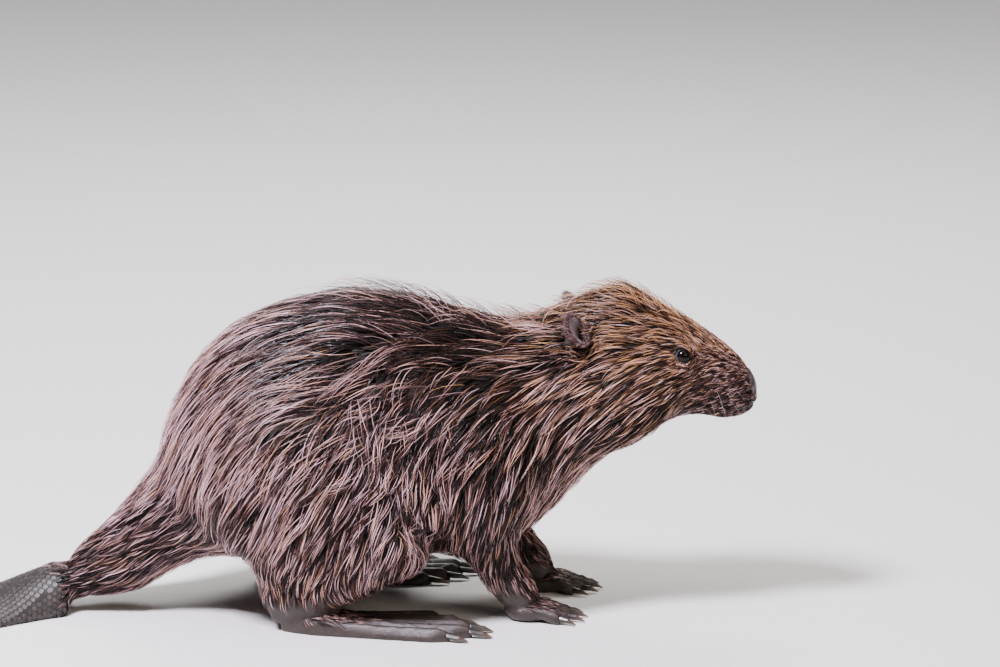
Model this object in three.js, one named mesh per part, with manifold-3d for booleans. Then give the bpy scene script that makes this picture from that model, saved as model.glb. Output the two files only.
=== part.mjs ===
// A life-size Eurasian beaver on all fours: back arched, haunches low, head held out level, tail laid behind.
// Millimetres, +Z up, nose towards +X, the animal's left towards +Y, floor at Z = 0.
// The flesh, out to the tips of the wet coat, is one smooth field: sections along the body with rounded
// masses joined on. It is meshed region by region, then parted by thin cuts into the pieces that a person
// would name.
import * as THREE from "three";
import { mergeVertices } from "three/addons/utils/BufferGeometryUtils.js";
import Module from "manifold-3d";

const wasm = await Module();
wasm.setup();

// ---------------------------------------------------------------- driving dimensions
const GAP = 0.3; // clearance between two neighbouring pieces
const REACH_OF_ALL = 800; // no part lies further than this from the body's origin
const NOSE_TIP = 257; // from the body's own origin, under the middle of the back
const RUMP_END = -263;
const SIDES = { left: 1, right: -1 };

// Sections across the trunk, neck and head: [along the body, mid height, half height, half width].
const SECTIONS = [
  [RUMP_END, 132, 0, 0],
  [-250, 134, 54, 56],
  [-225, 143, 86, 82],
  [-190, 152, 106, 99],
  [-145, 158, 118, 108],
  [-95, 162, 123, 112],
  [-45, 163, 118, 108],
  [0, 160, 111, 97],
  [40, 158, 103, 85],
  [75, 173, 94, 74],
  [105, 194, 85, 66],
  [140, 217, 72, 58],
  [165, 217, 59, 52],
  [190, 214, 47, 45],
  [215, 207, 37, 38],
  [238, 198, 27, 32],
  [250, 192, 18, 25],
  [NOSE_TIP, 190, 0, 0],
];
const PEAR = 0.16; // how much wider a section is low down than high up

// Masses on each side: centre, radii, forward pitch in radians, and how softly each joins the rest.
const SIDE_MASSES = {
  haunch: { centre: [-132, 92, 118], radii: [88, 35, 84], pitch: 0.35, soft: 30 },
  shoulder: { centre: [2, 70, 138], radii: [58, 30, 70], pitch: -0.2, soft: 30 },
  cheek: { centre: [132, 38, 183], radii: [52, 27, 38], pitch: 0.35, soft: 18 },
  brow: { centre: [186, 30, 239], radii: [20, 12, 10], pitch: -0.6, soft: 10 },
  whiskerPad: { centre: [232, 17, 188], radii: [22, 15, 17], pitch: 0.2, soft: 10 },
};

const EYE = { centre: [191.5, 35.8, 228], radius: 8.5 };
const EAR = {
  centre: [103, 48, 251],
  cup: [12, 10, 17],
  wall: 2.4,
  lean: 0.25, // outwards, in radians
  turn: 0.35,
  opening: [4, 8, 1.5], // which way the hollow is shifted
};
const NOSE = { centre: [252, 0, 199], radii: [11, 17.5, 15.5], pitch: -0.35 };
const NOSTRIL = { centre: [253, 16, 193], radii: [4.6, 4.6, 3.4] };
const MOUTH = { lip: [250, 0, 181], slope: 0.27, back: [168, 0, 160], backLean: 0.2 };

// The tail's root as two tapered pieces, lower and wider than round, and its softness where they join on.
const TAIL_ROOT = { rump: [-228, 0, 96], bend: [-290, -5, 46], end: [-350, -17, 21], wide: 1.32 };
const TAIL_RADII = { rump: 52, bend: 31, end: 17.5, soft: [26, 16] };
const PADDLE = {
  start: [-330, -14],
  length: 252,
  width: 116,
  rootWidth: 58,
  rootHeight: 44,
  thick: 17,
  tipThick: 9.5,
  edge: 4,
  heading: 0.2, // towards the animal's right, in radians
  bend: 0.42,
};

const REACH = { left: 14, right: 0 }; // how far forward each forepaw stands
const STEP = { left: 0, right: 10 }; // and each hind foot
// Joints of each limb, its radius at each, and the height at which the foot is parted from it.
const FORE = { elbow: [4, 60, 92], wrist: [46, 52, 30], palm: [58, 52, 12], radii: [29, 17, 14], cut: 26 };
const HIND = {
  knee: [-60, 97, 80],
  heel: [-156, 86, 25],
  sole: [-128, 88, 17],
  radii: [36, 21, 17],
  cut: 34,
};
const TOES = 5;
const FORE_PALM = { centre: [60, 52, 8], radii: [22, 20, 11] };
const FORE_TOES = {
  root: [66, 52],
  pitch: 7.4,
  length: [20, 27, 30, 28, 22],
  fan: 0.2, // radians between neighbours
  width: 4.6,
  height: 6,
};
const HIND_TOES = {
  root: [-163, 87],
  reach: [139, 155, 167, 169, 153],
  fan: 0.112,
  outward: 0.09,
  height: 9,
};
const WEB = { thick: 3.2, share: 0.9 }; // its thickness, and how far along the toes its edge lies
const HEEL = { half: 19, instep: 28, ball: 13, end: 0.5 }; // half width, heights, and how narrow its end is
const FORE_CLAW = { length: 15, width: 2.8, height: 3, lift: 4.6 };
const HIND_CLAW = { length: 16, width: 4.4, height: 3, lift: 4.6 };

// Where the trunk is parted: a point on each cut and the way forward across it.
const CUTS = {
  headNeck: [[100, 0, 200], [1, 0, 0.22]],
  neckChest: [[50, 0, 180], [1, 0, 0.28]],
  chestBelly: [[-60, 0, 160], [1, 0, 0]],
  bellyRump: [[-165, 0, 150], [1, 0, 0]],
  rumpTail: [[-262, 0, 110], [1, 0, 0.45]],
  tailPaddle: [[-338, 0, 20], [1, 0, 0]],
};
// Mesh spacing in each region, finer where the form is smaller, and the region's low and high corners.
const REGIONS = {
  trunk: { step: 32, low: [-290, -147, -7], high: [135, 147, 320] },
  neck: { step: 24, low: [8, -110, 30], high: [130, 110, 310] },
  head: { step: 12.2, low: [60, -88, 100], high: [270, 88, 302] },
  tail: { step: 19, low: [-370, -70, -13], high: [-215, 60, 170] },
  fore: { step: 14.5, low: [-60, 10, -6], high: [100, 150, 210] },
  hind: { step: 20, low: [-235, 10, -6], high: [20, 150, 215] },
};

// ---------------------------------------------------------------- small maths
const clamp01 = (t) => Math.min(1, Math.max(0, t));
const mix = (a, b, t) => a + (b - a) * t;
const smoothStep = (a, b, x) => {
  const t = clamp01((x - a) / (b - a));
  return t * t * (3 - 2 * t);
};
const smoothMin = (a, b, k) => {
  const h = clamp01(0.5 + (0.5 * (b - a)) / k);
  return mix(b, a, h) - k * h * (1 - h);
};

// A smooth curve through the columns of a table whose first column is the place along it.
function tableCurve(rows, column, power = 1) {
  const at = rows.map((r) => r[0]);
  const value = rows.map((r) => r[column] ** power);
  const slope = at.map((_, i) => {
    const a = Math.max(0, i - 1);
    const b = Math.min(at.length - 1, i + 1);
    return (value[b] - value[a]) / (at[b] - at[a]);
  });
  return (x) => {
    if (x <= at[0]) return value[0] ** (1 / power);
    if (x >= at[at.length - 1]) return value[at.length - 1] ** (1 / power);
    let i = 0;
    while (at[i + 1] < x) i++;
    const step = at[i + 1] - at[i];
    const t = (x - at[i]) / step;
    const t2 = t * t;
    const t3 = t2 * t;
    const v =
      value[i] * (2 * t3 - 3 * t2 + 1) +
      value[i + 1] * (3 * t2 - 2 * t3) +
      step * (slope[i] * (t3 - 2 * t2 + t) + slope[i + 1] * (t3 - t2));
    return Math.max(0, v) ** (1 / power);
  };
}

// ---------------------------------------------------------------- the field of the flesh
const midHeight = tableCurve(SECTIONS, 1);
const halfHeight = tableCurve(SECTIONS, 2, 2); // squared, so that both ends come out round
const halfWidth = tableCurve(SECTIONS, 3, 2);
const ROUND_END = 6; // no section is treated as thinner than this

function bodyField(x, y, z) {
  const past = Math.max(RUMP_END - x, x - NOSE_TIP, 0);
  const h = Math.max(ROUND_END, halfHeight(x));
  const up = (z - midHeight(x)) / h;
  const w = Math.max(ROUND_END, halfWidth(x)) * (1 - PEAR * Math.max(-1, Math.min(1, up)));
  const k0 = Math.hypot(y / w, up);
  const k1 = Math.hypot(y / (w * w), up / h);
  const inPlane = k1 < 1e-9 ? -Math.min(w, h) : (k0 * (k0 - 1)) / k1;
  return past > 0 ? Math.hypot(Math.max(0, inPlane), past) + ROUND_END : inPlane;
}

// An ellipsoid, turned by `pitch` about the Y axis.
function ellipsoid([cx, cy, cz], [rx, ry, rz], pitch = 0) {
  const c = Math.cos(pitch);
  const s = Math.sin(pitch);
  return (x, y, z) => {
    const dx = c * (x - cx) + s * (z - cz);
    const dy = y - cy;
    const dz = -s * (x - cx) + c * (z - cz);
    const k0 = Math.hypot(dx / rx, dy / ry, dz / rz);
    const k1 = Math.hypot(dx / (rx * rx), dy / (ry * ry), dz / (rz * rz));
    return k1 < 1e-9 ? -Math.min(rx, ry, rz) : (k0 * (k0 - 1)) / k1;
  };
}

// A tapered capsule between two points, `wide` times as wide as it is high.
function roundCone(a, ra, b, rb, wide = 1) {
  const start = new THREE.Vector3(a[0], a[1] / wide, a[2]);
  const along = new THREE.Vector3(b[0], b[1] / wide, b[2]).sub(start);
  const p = new THREE.Vector3();
  return (x, y, z) => {
    p.set(x, y / wide, z).sub(start);
    const t = clamp01(p.dot(along) / along.lengthSq());
    return p.addScaledVector(along, -t).length() - mix(ra, rb, t);
  };
}

const mirrored = (side, [x, y, z]) => [x, SIDES[side] * y, z];
const forePoint = (side, [x, y, z = 0], share = 1) => [x + REACH[side] * share, SIDES[side] * y, z];
const hindPoint = (side, [x, y, z = 0], share = 1) => [x + STEP[side] * share, SIDES[side] * y, z];
const elbowOf = (side) => forePoint(side, FORE.elbow, 0.3); // a step forward swings the limb's upper end less
const kneeOf = (side) => hindPoint(side, HIND.knee, 0.4);

// Each mass: [its field, how softly it joins the rest].
const { rump, bend, end, wide } = TAIL_ROOT;
const TRUNK_MASSES = [
  [roundCone(rump, TAIL_RADII.rump, bend, TAIL_RADII.bend, wide), TAIL_RADII.soft[0]],
  [roundCone(bend, TAIL_RADII.bend, end, TAIL_RADII.end, wide), TAIL_RADII.soft[1]],
];
const LEG_MASSES = [];
for (const side of Object.keys(SIDES)) {
  for (const { centre, radii, pitch, soft } of Object.values(SIDE_MASSES))
    TRUNK_MASSES.push([ellipsoid(mirrored(side, centre), radii, pitch), soft]);
  const wrist = forePoint(side, FORE.wrist);
  const heel = hindPoint(side, HIND.heel);
  LEG_MASSES.push(
    [roundCone(elbowOf(side), FORE.radii[0], wrist, FORE.radii[1]), 16],
    [roundCone(wrist, FORE.radii[1], forePoint(side, FORE.palm), FORE.radii[2]), 8],
    [roundCone(kneeOf(side), HIND.radii[0], heel, HIND.radii[1]), 20],
    [roundCone(heel, HIND.radii[1], hindPoint(side, HIND.sole), HIND.radii[2]), 10],
  );
}

// The trunk, neck and head rounded into the given masses.
const fieldOf = (masses) => (x, y, z) => {
  let d = bodyField(x, y, z);
  for (const [mass, soft] of masses) d = smoothMin(d, mass(x, y, z), soft);
  return d;
};
const trunkField = fieldOf(TRUNK_MASSES);
const fleshField = fieldOf([...TRUNK_MASSES, ...LEG_MASSES]);

// ---------------------------------------------------------------- meshing
// Fills a corner of each grid square whose inside corners are opposite ones, as the surface would be pinched
// there.
function fillPinches(value, [nx, ny, nz], step) {
  const strides = [1, nx, nx * ny];
  const last = [nx - 1, ny - 1, nz - 1];
  for (let changed = true; changed; ) {
    changed = false;
    for (let a = 0; a < value.length; a++) {
      const place = [a % nx, Math.floor(a / nx) % ny, Math.floor(a / (nx * ny))];
      for (let axis = 0; axis < 3; axis++) {
        const [p, q] = [(axis + 1) % 3, (axis + 2) % 3];
        if (place[p] === last[p] || place[q] === last[q]) continue;
        const [b, c, d] = [a + strides[p], a + strides[q], a + strides[p] + strides[q]];
        const inside = value[a] < 0;
        if (inside !== value[d] < 0 || value[b] < 0 !== value[c] < 0 || inside === value[b] < 0) continue;
        const [e, f] = inside ? [b, c] : [a, d];
        value[value[e] < value[f] ? e : f] = -0.02 * step;
        changed = true;
      }
    }
  }
}

// A point moved straight onto the field's surface, by no more than a third of a step.
function settled(field, point, step) {
  const d = field(...point);
  const slope = point.map((_, n) => {
    const ahead = point.map((v, m) => (m === n ? v + 0.5 : v));
    const behind = point.map((v, m) => (m === n ? v - 0.5 : v));
    return field(...ahead) - field(...behind);
  });
  const length = Math.max(1e-6, Math.hypot(...slope));
  const move = Math.max(-step / 3, Math.min(step / 3, d / length));
  return point.map((v, n) => v - (move * slope[n]) / length);
}

// Surface nets: one vertex in each grid cell that the surface crosses, and one quad over each crossed edge.
function meshField(field, { step, low, high }) {
  const count = [0, 1, 2].map((k) => Math.ceil((high[k] - low[k]) / step) + 1);
  const [nx, ny, nz] = count;
  const at = (i, j, k) => i + nx * (j + ny * k);
  const value = new Float64Array(nx * ny * nz);
  for (let k = 0; k < nz; k++)
    for (let j = 0; j < ny; j++)
      for (let i = 0; i < nx; i++) {
        const edge = [i, j, k].some((n, axis) => n === 0 || n === count[axis] - 1);
        const d = field(low[0] + i * step, low[1] + j * step, low[2] + k * step);
        value[at(i, j, k)] = edge ? Math.max(d, step / 2) : d;
      }
  fillPinches(value, count, step);
  const corners = [0, 1, 2, 3, 4, 5, 6, 7].map((c) => [c & 1, (c >> 1) & 1, (c >> 2) & 1]);
  const edges = [];
  for (let a = 0; a < 8; a++) for (const bit of [1, 2, 4]) if (!(a & bit)) edges.push([a, a | bit]);
  const points = [];
  const pointOf = new Map();
  for (let k = 0; k < nz - 1; k++)
    for (let j = 0; j < ny - 1; j++)
      for (let i = 0; i < nx - 1; i++) {
        const v = corners.map(([a, b, c]) => value[at(i + a, j + b, k + c)]);
        const sum = [0, 0, 0];
        let crossings = 0;
        for (const [a, b] of edges) {
          if (v[a] < 0 === v[b] < 0) continue;
          const t = v[a] / (v[a] - v[b]);
          for (let n = 0; n < 3; n++) sum[n] += mix(corners[a][n], corners[b][n], t);
          crossings++;
        }
        if (!crossings) continue;
        pointOf.set(at(i, j, k), points.length / 3);
        const cell = [i, j, k];
        points.push(...settled(field, cell.map((c, n) => low[n] + step * (c + sum[n] / crossings)), step));
      }
  const faces = [];
  const strides = [1, nx, nx * ny];
  for (let k = 0; k < nz - 1; k++)
    for (let j = 0; j < ny - 1; j++)
      for (let i = 0; i < nx - 1; i++)
        for (let axis = 0; axis < 3; axis++) {
          const here = at(i, j, k);
          const inside = value[here] < 0;
          if (inside === value[here + strides[axis]] < 0) continue;
          const u = strides[(axis + 1) % 3];
          const w = strides[(axis + 2) % 3];
          const quad = [here, here - u, here - u - w, here - w].map((c) => pointOf.get(c));
          if (!inside) quad.reverse();
          faces.push(quad[0], quad[1], quad[2], quad[0], quad[2], quad[3]);
        }
  const geometry = new THREE.BufferGeometry();
  geometry.setAttribute("position", new THREE.Float32BufferAttribute(points, 3));
  geometry.setIndex(faces);
  return geometry;
}

// Rings of points, each ring the same length, closed into a solid with a cap at each end.
function loft(rings) {
  const points = rings.flat(2);
  const sides = rings[0].length;
  const faces = [];
  for (let r = 0; r + 1 < rings.length; r++)
    for (let s = 0; s < sides; s++) {
      const a = r * sides + s;
      const b = r * sides + ((s + 1) % sides);
      faces.push(a, b, b + sides, a, b + sides, a + sides);
    }
  const last = (rings.length - 1) * sides;
  for (let s = 1; s + 1 < sides; s++) {
    faces.push(0, s + 1, s);
    faces.push(last, last + s, last + s + 1);
  }
  const geometry = new THREE.BufferGeometry();
  geometry.setAttribute("position", new THREE.Float32BufferAttribute(points, 3));
  geometry.setIndex(faces);
  return geometry;
}

// ---------------------------------------------------------------- solids
function toSolid(geometry) {
  const bare = new THREE.BufferGeometry().setAttribute("position", geometry.getAttribute("position"));
  bare.setIndex(geometry.getIndex());
  const merged = mergeVertices(bare, 1e-3);
  const mesh = new wasm.Mesh({
    numProp: 3,
    vertProperties: new Float32Array(merged.attributes.position.array),
    triVerts: new Uint32Array(merged.index.array),
  });
  return new wasm.Manifold(mesh);
}

function toGeometry(solid) {
  const mesh = solid.getMesh();
  const geometry = new THREE.BufferGeometry();
  geometry.setAttribute("position", new THREE.BufferAttribute(new Float32Array(mesh.vertProperties), 3));
  geometry.setIndex(new THREE.BufferAttribute(new Uint32Array(mesh.triVerts), 1));
  return geometry;
}

// The largest separate body of a solid, without the crumbs that a cut can leave.
function mainBody(solid) {
  const bodies = solid.decompose();
  return bodies.reduce((most, body) => (body.volume() > most.volume() ? body : most));
}

// A big block on the side of a plane that its normal points to, set back by half a gap.
function halfSpace(point, normal, offset = GAP / 2) {
  const size = 2 * REACH_OF_ALL;
  const direction = new THREE.Vector3(...normal).normalize();
  const block = new THREE.BoxGeometry(size, size, size);
  block.translate(0, 0, size / 2 + offset);
  block.applyQuaternion(new THREE.Quaternion().setFromUnitVectors(new THREE.Vector3(0, 0, 1), direction));
  block.translate(...point);
  return toSolid(block);
}

const inFrontOf = (solid, [point, normal]) => solid.intersect(halfSpace(point, normal));
const behind = (solid, [point, normal]) => solid.intersect(halfSpace(point, normal.map((n) => -n)));
const FLOOR = halfSpace([0, 0, 0], [0, 0, 1], 0);

// An ellipsoid of facets, rolled, pitched, then turned.
function ball(centre, radii, { pitch = 0, yaw = 0, roll = 0, around = 10, down = 6 } = {}) {
  const geometry = new THREE.SphereGeometry(1, around, down);
  geometry.rotateX(Math.PI / 2);
  geometry.scale(...radii);
  geometry.rotateX(roll);
  geometry.rotateY(-pitch);
  geometry.rotateZ(yaw);
  geometry.translate(...centre);
  return toSolid(geometry);
}

const grown = (radii, by = GAP) => radii.map((r) => r + by);

// ---------------------------------------------------------------- toes and claws
// A tapered tube along points, each [x, y, z, half width, half height], whose rings all stand upright.
function tube(points, sides = 5) {
  const rings = points.map(([x, y, z, width, height], i) => {
    const before = points[Math.max(0, i - 1)];
    const after = points[Math.min(points.length - 1, i + 1)];
    const heading = Math.atan2(after[1] - before[1], after[0] - before[0]);
    return Array.from({ length: sides }, (_, side) => {
      const angle = (2 * Math.PI * (side + 0.5)) / sides;
      const across = width * Math.cos(angle);
      return [x - across * Math.sin(heading), y + across * Math.cos(heading), z + height * Math.sin(angle)];
    });
  });
  return toSolid(loft(rings));
}

// A point `along` a toe from its root, heading at `angle` from straight ahead.
const toePoint = ([x, y], angle, along) => [x + along * Math.cos(angle), y + along * Math.sin(angle)];

// A claw from the tip of a toe, bent down to the floor: shares of its length, lift and thickness.
const CLAW_RINGS = [
  [0, 1, 1],
  [0.5, 0.9, 0.85],
  [1, 0.25, 0.2],
];

function claw({ tip, angle }, { length, width, height, lift }) {
  const root = toePoint(tip, angle, GAP);
  const rings = CLAW_RINGS.map(([along, rise, thick]) => [
    ...toePoint(root, angle, length * along),
    lift * rise,
    width * thick,
    height * thick,
  ]);
  return tube(rings);
}

const fromMiddle = (toe) => toe - (TOES - 1) / 2;

// Where a toe starts and ends on the floor, and which way it points.
function foreToe(side, toe) {
  const angle = SIDES[side] * FORE_TOES.fan * fromMiddle(toe);
  const [rootX, rootY] = FORE_TOES.root;
  const [x, y] = forePoint(side, [rootX, rootY + fromMiddle(toe) * FORE_TOES.pitch]);
  const length = FORE_TOES.length[toe];
  return { angle, root: [x, y], length, tip: toePoint([x, y], angle, length) };
}

function hindToe(side, toe) {
  const angle = SIDES[side] * (HIND_TOES.outward + HIND_TOES.fan * fromMiddle(toe));
  const [x, y] = hindPoint(side, HIND_TOES.root);
  const length = HIND_TOES.reach[toe];
  return { angle, root: [x, y], length, tip: toePoint([x, y], angle, length) };
}

// A free toe, arched over its knuckle and flat under its tip: share along it, height, share of its thickness.
const TOE_ARCH = [
  [-0.4, 9.5, 1.1],
  [0.3, 9.5, 1.12],
  [0.8, 5.4, 1.02],
  [1, 4.4, 0.75],
];

function forePalm(side) {
  let paw = ball(forePoint(side, FORE_PALM.centre), FORE_PALM.radii, { around: 12 });
  for (let toe = 0; toe < TOES; toe++) {
    const { angle, root, length } = foreToe(side, toe);
    const rings = TOE_ARCH.map(([along, z, thick]) => [
      ...toePoint(root, angle, along * length),
      z,
      thick * FORE_TOES.width,
      thick * FORE_TOES.height,
    ]);
    paw = paw.add(tube(rings));
  }
  return paw;
}

// A solid from just under the floor up to a grid of top points, rows[along][across], cut at the floor.
function pillow(rows) {
  const under = 2;
  const along = rows.length;
  const across = rows[0].length;
  const top = rows.flat();
  const points = [...top, ...top.map(([x, y]) => [x, y, -under])];
  const outline = [rows[0][0], rows[0][across - 1], rows[along - 1][across - 1], rows[along - 1][0]];
  const clockwise = THREE.ShapeUtils.isClockWise(outline.map(([x, y]) => new THREE.Vector2(x, y)));
  const faces = [];
  const face = (a, b, c) => faces.push(...(clockwise ? [a, c, b] : [a, b, c]));
  for (let r = 0; r + 1 < along; r++)
    for (let c = 0; c + 1 < across; c++) {
      const a = r * across + c;
      const b = a + across;
      face(a, a + 1, b + 1);
      face(a, b + 1, b);
      face(top.length + a, top.length + b + 1, top.length + a + 1);
      face(top.length + a, top.length + b, top.length + b + 1);
    }
  const rim = [];
  for (let c = 0; c + 1 < across; c++) rim.push(c);
  for (let r = 0; r + 1 < along; r++) rim.push(r * across + across - 1);
  for (let c = across - 1; c > 0; c--) rim.push((along - 1) * across + c);
  for (let r = along - 1; r > 0; r--) rim.push(r * across);
  rim.forEach((p, i) => {
    const next = rim[(i + 1) % rim.length];
    face(p, top.length + p, top.length + next);
    face(p, top.length + next, next);
  });
  const geometry = new THREE.BufferGeometry();
  geometry.setAttribute("position", new THREE.Float32BufferAttribute(points.flat(), 3));
  geometry.setIndex(faces);
  return toSolid(geometry).intersect(FLOOR);
}

// The top of the webbed foot, `u` along it from heel to tips and `v` across it from first toe to last.
function webbedFootPoint(side, u, v) {
  const place = clamp01(v) * TOES - 0.5; // a toe's ridge lies at each whole number
  const inner = Math.max(0, Math.min(TOES - 2, Math.floor(place)));
  const offRidge = Math.min(1, 2 * Math.abs(place - Math.round(Math.min(TOES - 1, Math.max(0, place)))));
  const reach = mix(HIND_TOES.reach[inner], HIND_TOES.reach[inner + 1], clamp01(place - inner));
  const angle = SIDES[side] * (HIND_TOES.outward + HIND_TOES.fan * fromMiddle(place));
  const [x, y] = toePoint(hindPoint(side, HIND_TOES.root), angle, reach * mix(1, WEB.share, offRidge) * u);
  const roundHeel = mix(HEEL.end, 1, smoothStep(0, 0.15, u));
  const aside = SIDES[side] * (1 - u) * (2 * v - 1) * HEEL.half * roundHeel;
  const ridge = Math.sqrt(Math.max(0, 1 - (offRidge / 0.56) ** 2));
  const tipTaper = u === 1 ? 0.5 : 1;
  const toeTop = WEB.thick + HIND_TOES.height * ridge * tipTaper;
  const acrossInstep = Math.sqrt(1 - 0.75 * (2 * v - 1) ** 4);
  const instep = roundHeel * mix(HEEL.instep, HEEL.ball, clamp01(2 * u)) * acrossInstep;
  return [x, y + aside, mix(instep, toeTop, smoothStep(0.28, 0.6, u))];
}

function webbedFoot(side) {
  const stations = [0, 0.07, 0.22, 0.4, 0.58, 0.77, 0.94, 1];
  const across = 4 * TOES;
  return pillow(
    stations.map((u) => Array.from({ length: across + 1 }, (_, c) => webbedFootPoint(side, u, c / across))),
  );
}

// ---------------------------------------------------------------- the tail's paddle
// Flat below, low-crowned above, widest past its middle, blunt-ended, bending to the animal's right.
function tailPaddle() {
  const steps = 15;
  const columns = 10;
  const rows = [];
  let [x, y] = PADDLE.start;
  let heading = PADDLE.heading;
  for (let i = 0; i <= steps; i++) {
    const t = i / steps;
    const flattened = smoothStep(0, 0.4, t);
    const roundEnd = Math.sqrt(Math.max(0.012, 1 - clamp01((t - 0.6) / 0.4) ** 3));
    const half = (mix(PADDLE.rootWidth, PADDLE.width, smoothStep(0, 0.45, t)) / 2) * roundEnd;
    const thick = mix(PADDLE.rootHeight, PADDLE.thick, flattened);
    const thinned = mix(thick, PADDLE.tipThick, smoothStep(0.4, 1, t));
    const crown = thinned * mix(0.5, 1, roundEnd) - PADDLE.edge;
    rows.push(
      Array.from({ length: columns + 1 }, (_, c) => {
        const q = (2 * c) / columns - 1;
        const profile = mix(Math.sqrt(1 - 0.97 * q * q), 1 - q * q, flattened);
        const aside = q * half;
        return [x + aside * Math.sin(heading), y - aside * Math.cos(heading), PADDLE.edge + crown * profile];
      }),
    );
    x -= (PADDLE.length / steps) * Math.cos(heading);
    y -= (PADDLE.length / steps) * Math.sin(heading);
    heading += PADDLE.bend / steps;
  }
  return behind(pillow(rows), CUTS.tailPaddle);
}

// ---------------------------------------------------------------- cells that part the limbs from the trunk
// A tapered round block along a limb, run on past each of its ends.
function limbBlock([a, radiusA, pastA], [b, radiusB, pastB], extra) {
  const start = new THREE.Vector3(...a);
  const end = new THREE.Vector3(...b);
  const along = end.clone().sub(start).normalize();
  const length = start.distanceTo(end) + pastA + pastB + 2 * extra;
  const block = new THREE.CylinderGeometry(radiusB + extra, radiusA + extra, length, 10);
  block.translate(0, length / 2 - pastA - extra, 0);
  block.applyQuaternion(new THREE.Quaternion().setFromUnitVectors(new THREE.Vector3(0, 1, 0), along));
  block.translate(...a);
  return toSolid(block);
}

// A box between two corners given for the animal's left side.
function footBlock(side, low, high, extra) {
  const block = new THREE.BoxGeometry(...high.map((h, k) => h - low[k] + 2 * extra));
  block.translate(...mirrored(side, high.map((h, k) => (h + low[k]) / 2)));
  return toSolid(block);
}

// A low drum on its side, from `inner` outwards, whose ends are ovals turned by `pitch`.
function drum(side, { centre: [x, z], radii: [rx, rz], inner, pitch }, extra) {
  const length = 120 + extra;
  const block = new THREE.CylinderGeometry(1, 1, length, 10);
  block.scale(rx + extra, 1, rz + extra);
  block.rotateY(pitch);
  block.translate(x, SIDES[side] * (inner - extra + length / 2), z);
  return toSolid(block);
}

const SHOULDER_DRUM = { centre: [-2, 132], radii: [48, 60], inner: 52, pitch: 0.2 };
const HIP_DRUM = { centre: [-130, 124], radii: [92, 86], inner: 62, pitch: -0.35 };
const CELLS = {
  fore_paw: (side, extra) => footBlock(side, [20 + REACH[side], 18, -20], [130, 92, FORE.cut], extra),
  hind_foot: (side, extra) => footBlock(side, [-220, 30, -20], [18, 170, HIND.cut], extra),
  forearm: (side, extra) => limbBlock([elbowOf(side), 38, 6], [forePoint(side, FORE.wrist), 28, 60], extra),
  shank: (side, extra) => limbBlock([kneeOf(side), 44, 18], [hindPoint(side, HIND.heel), 34, 60], extra),
  upper_arm: (side, extra) => drum(side, SHOULDER_DRUM, extra),
  thigh: (side, extra) => drum(side, HIP_DRUM, extra),
};

// ---------------------------------------------------------------- the limbs
const pieces = {};

// Each limb piece is the flesh in its cell, less the cells of the pieces before it.
const limbBlocks = [];
for (const side of Object.keys(SIDES)) {
  const meshOf = ({ step, low, high }) => {
    const ends = [SIDES[side] * low[1], SIDES[side] * high[1]].sort((a, b) => a - b);
    const region = { step, low: [low[0], ends[0], low[2]], high: [high[0], ends[1], high[2]] };
    return toSolid(meshField(fleshField, region));
  };
  const fore = meshOf(REGIONS.fore);
  const hind = meshOf(REGIONS.hind);
  const limbs = {
    fore_paw: fore.add(forePalm(side)).intersect(FLOOR),
    hind_foot: hind.add(webbedFoot(side)).intersect(FLOOR),
    forearm: fore,
    shank: hind,
    upper_arm: fore,
    thigh: hind,
  };
  for (const [name, flesh] of Object.entries(limbs)) {
    let piece = flesh.intersect(CELLS[name](side, 0));
    for (const block of limbBlocks) piece = piece.subtract(block);
    pieces[`${name}_${side}`] = mainBody(piece);
    limbBlocks.push(CELLS[name](side, GAP));
  }
  for (let toe = 0; toe < TOES; toe++) {
    pieces[`claw_fore_${side}_${toe + 1}`] = claw(foreToe(side, toe), FORE_CLAW);
    pieces[`claw_hind_${side}_${toe + 1}`] = claw(hindToe(side, toe), HIND_CLAW);
  }
}

// ---------------------------------------------------------------- the trunk, neck and tail
function slice(mesh, rear, front) {
  let piece = behind(inFrontOf(mesh, rear), front);
  for (const block of limbBlocks) piece = piece.subtract(block);
  return mainBody(piece);
}

const trunkMesh = toSolid(meshField(trunkField, REGIONS.trunk));
const neckMesh = toSolid(meshField(trunkField, REGIONS.neck));
const tailMesh = toSolid(meshField(trunkField, REGIONS.tail)).intersect(FLOOR);
pieces.chest = slice(trunkMesh, CUTS.chestBelly, CUTS.neckChest);
pieces.belly = slice(trunkMesh, CUTS.bellyRump, CUTS.chestBelly);
pieces.rump = slice(trunkMesh, CUTS.rumpTail, CUTS.bellyRump);
pieces.neck = slice(neckMesh, CUTS.neckChest, CUTS.headNeck);
pieces.tail_root = slice(tailMesh, CUTS.tailPaddle, CUTS.rumpTail);
pieces.tail_paddle = tailPaddle();

// ---------------------------------------------------------------- the head
const noseBlock = (extra) => ball(NOSE.centre, grown(NOSE.radii, extra), { pitch: NOSE.pitch });
const jawBlock = (offset) =>
  halfSpace(MOUTH.lip, [MOUTH.slope, 0, -1], offset).intersect(
    halfSpace(MOUTH.back, [1, 0, MOUTH.backLean], offset),
  );

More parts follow.
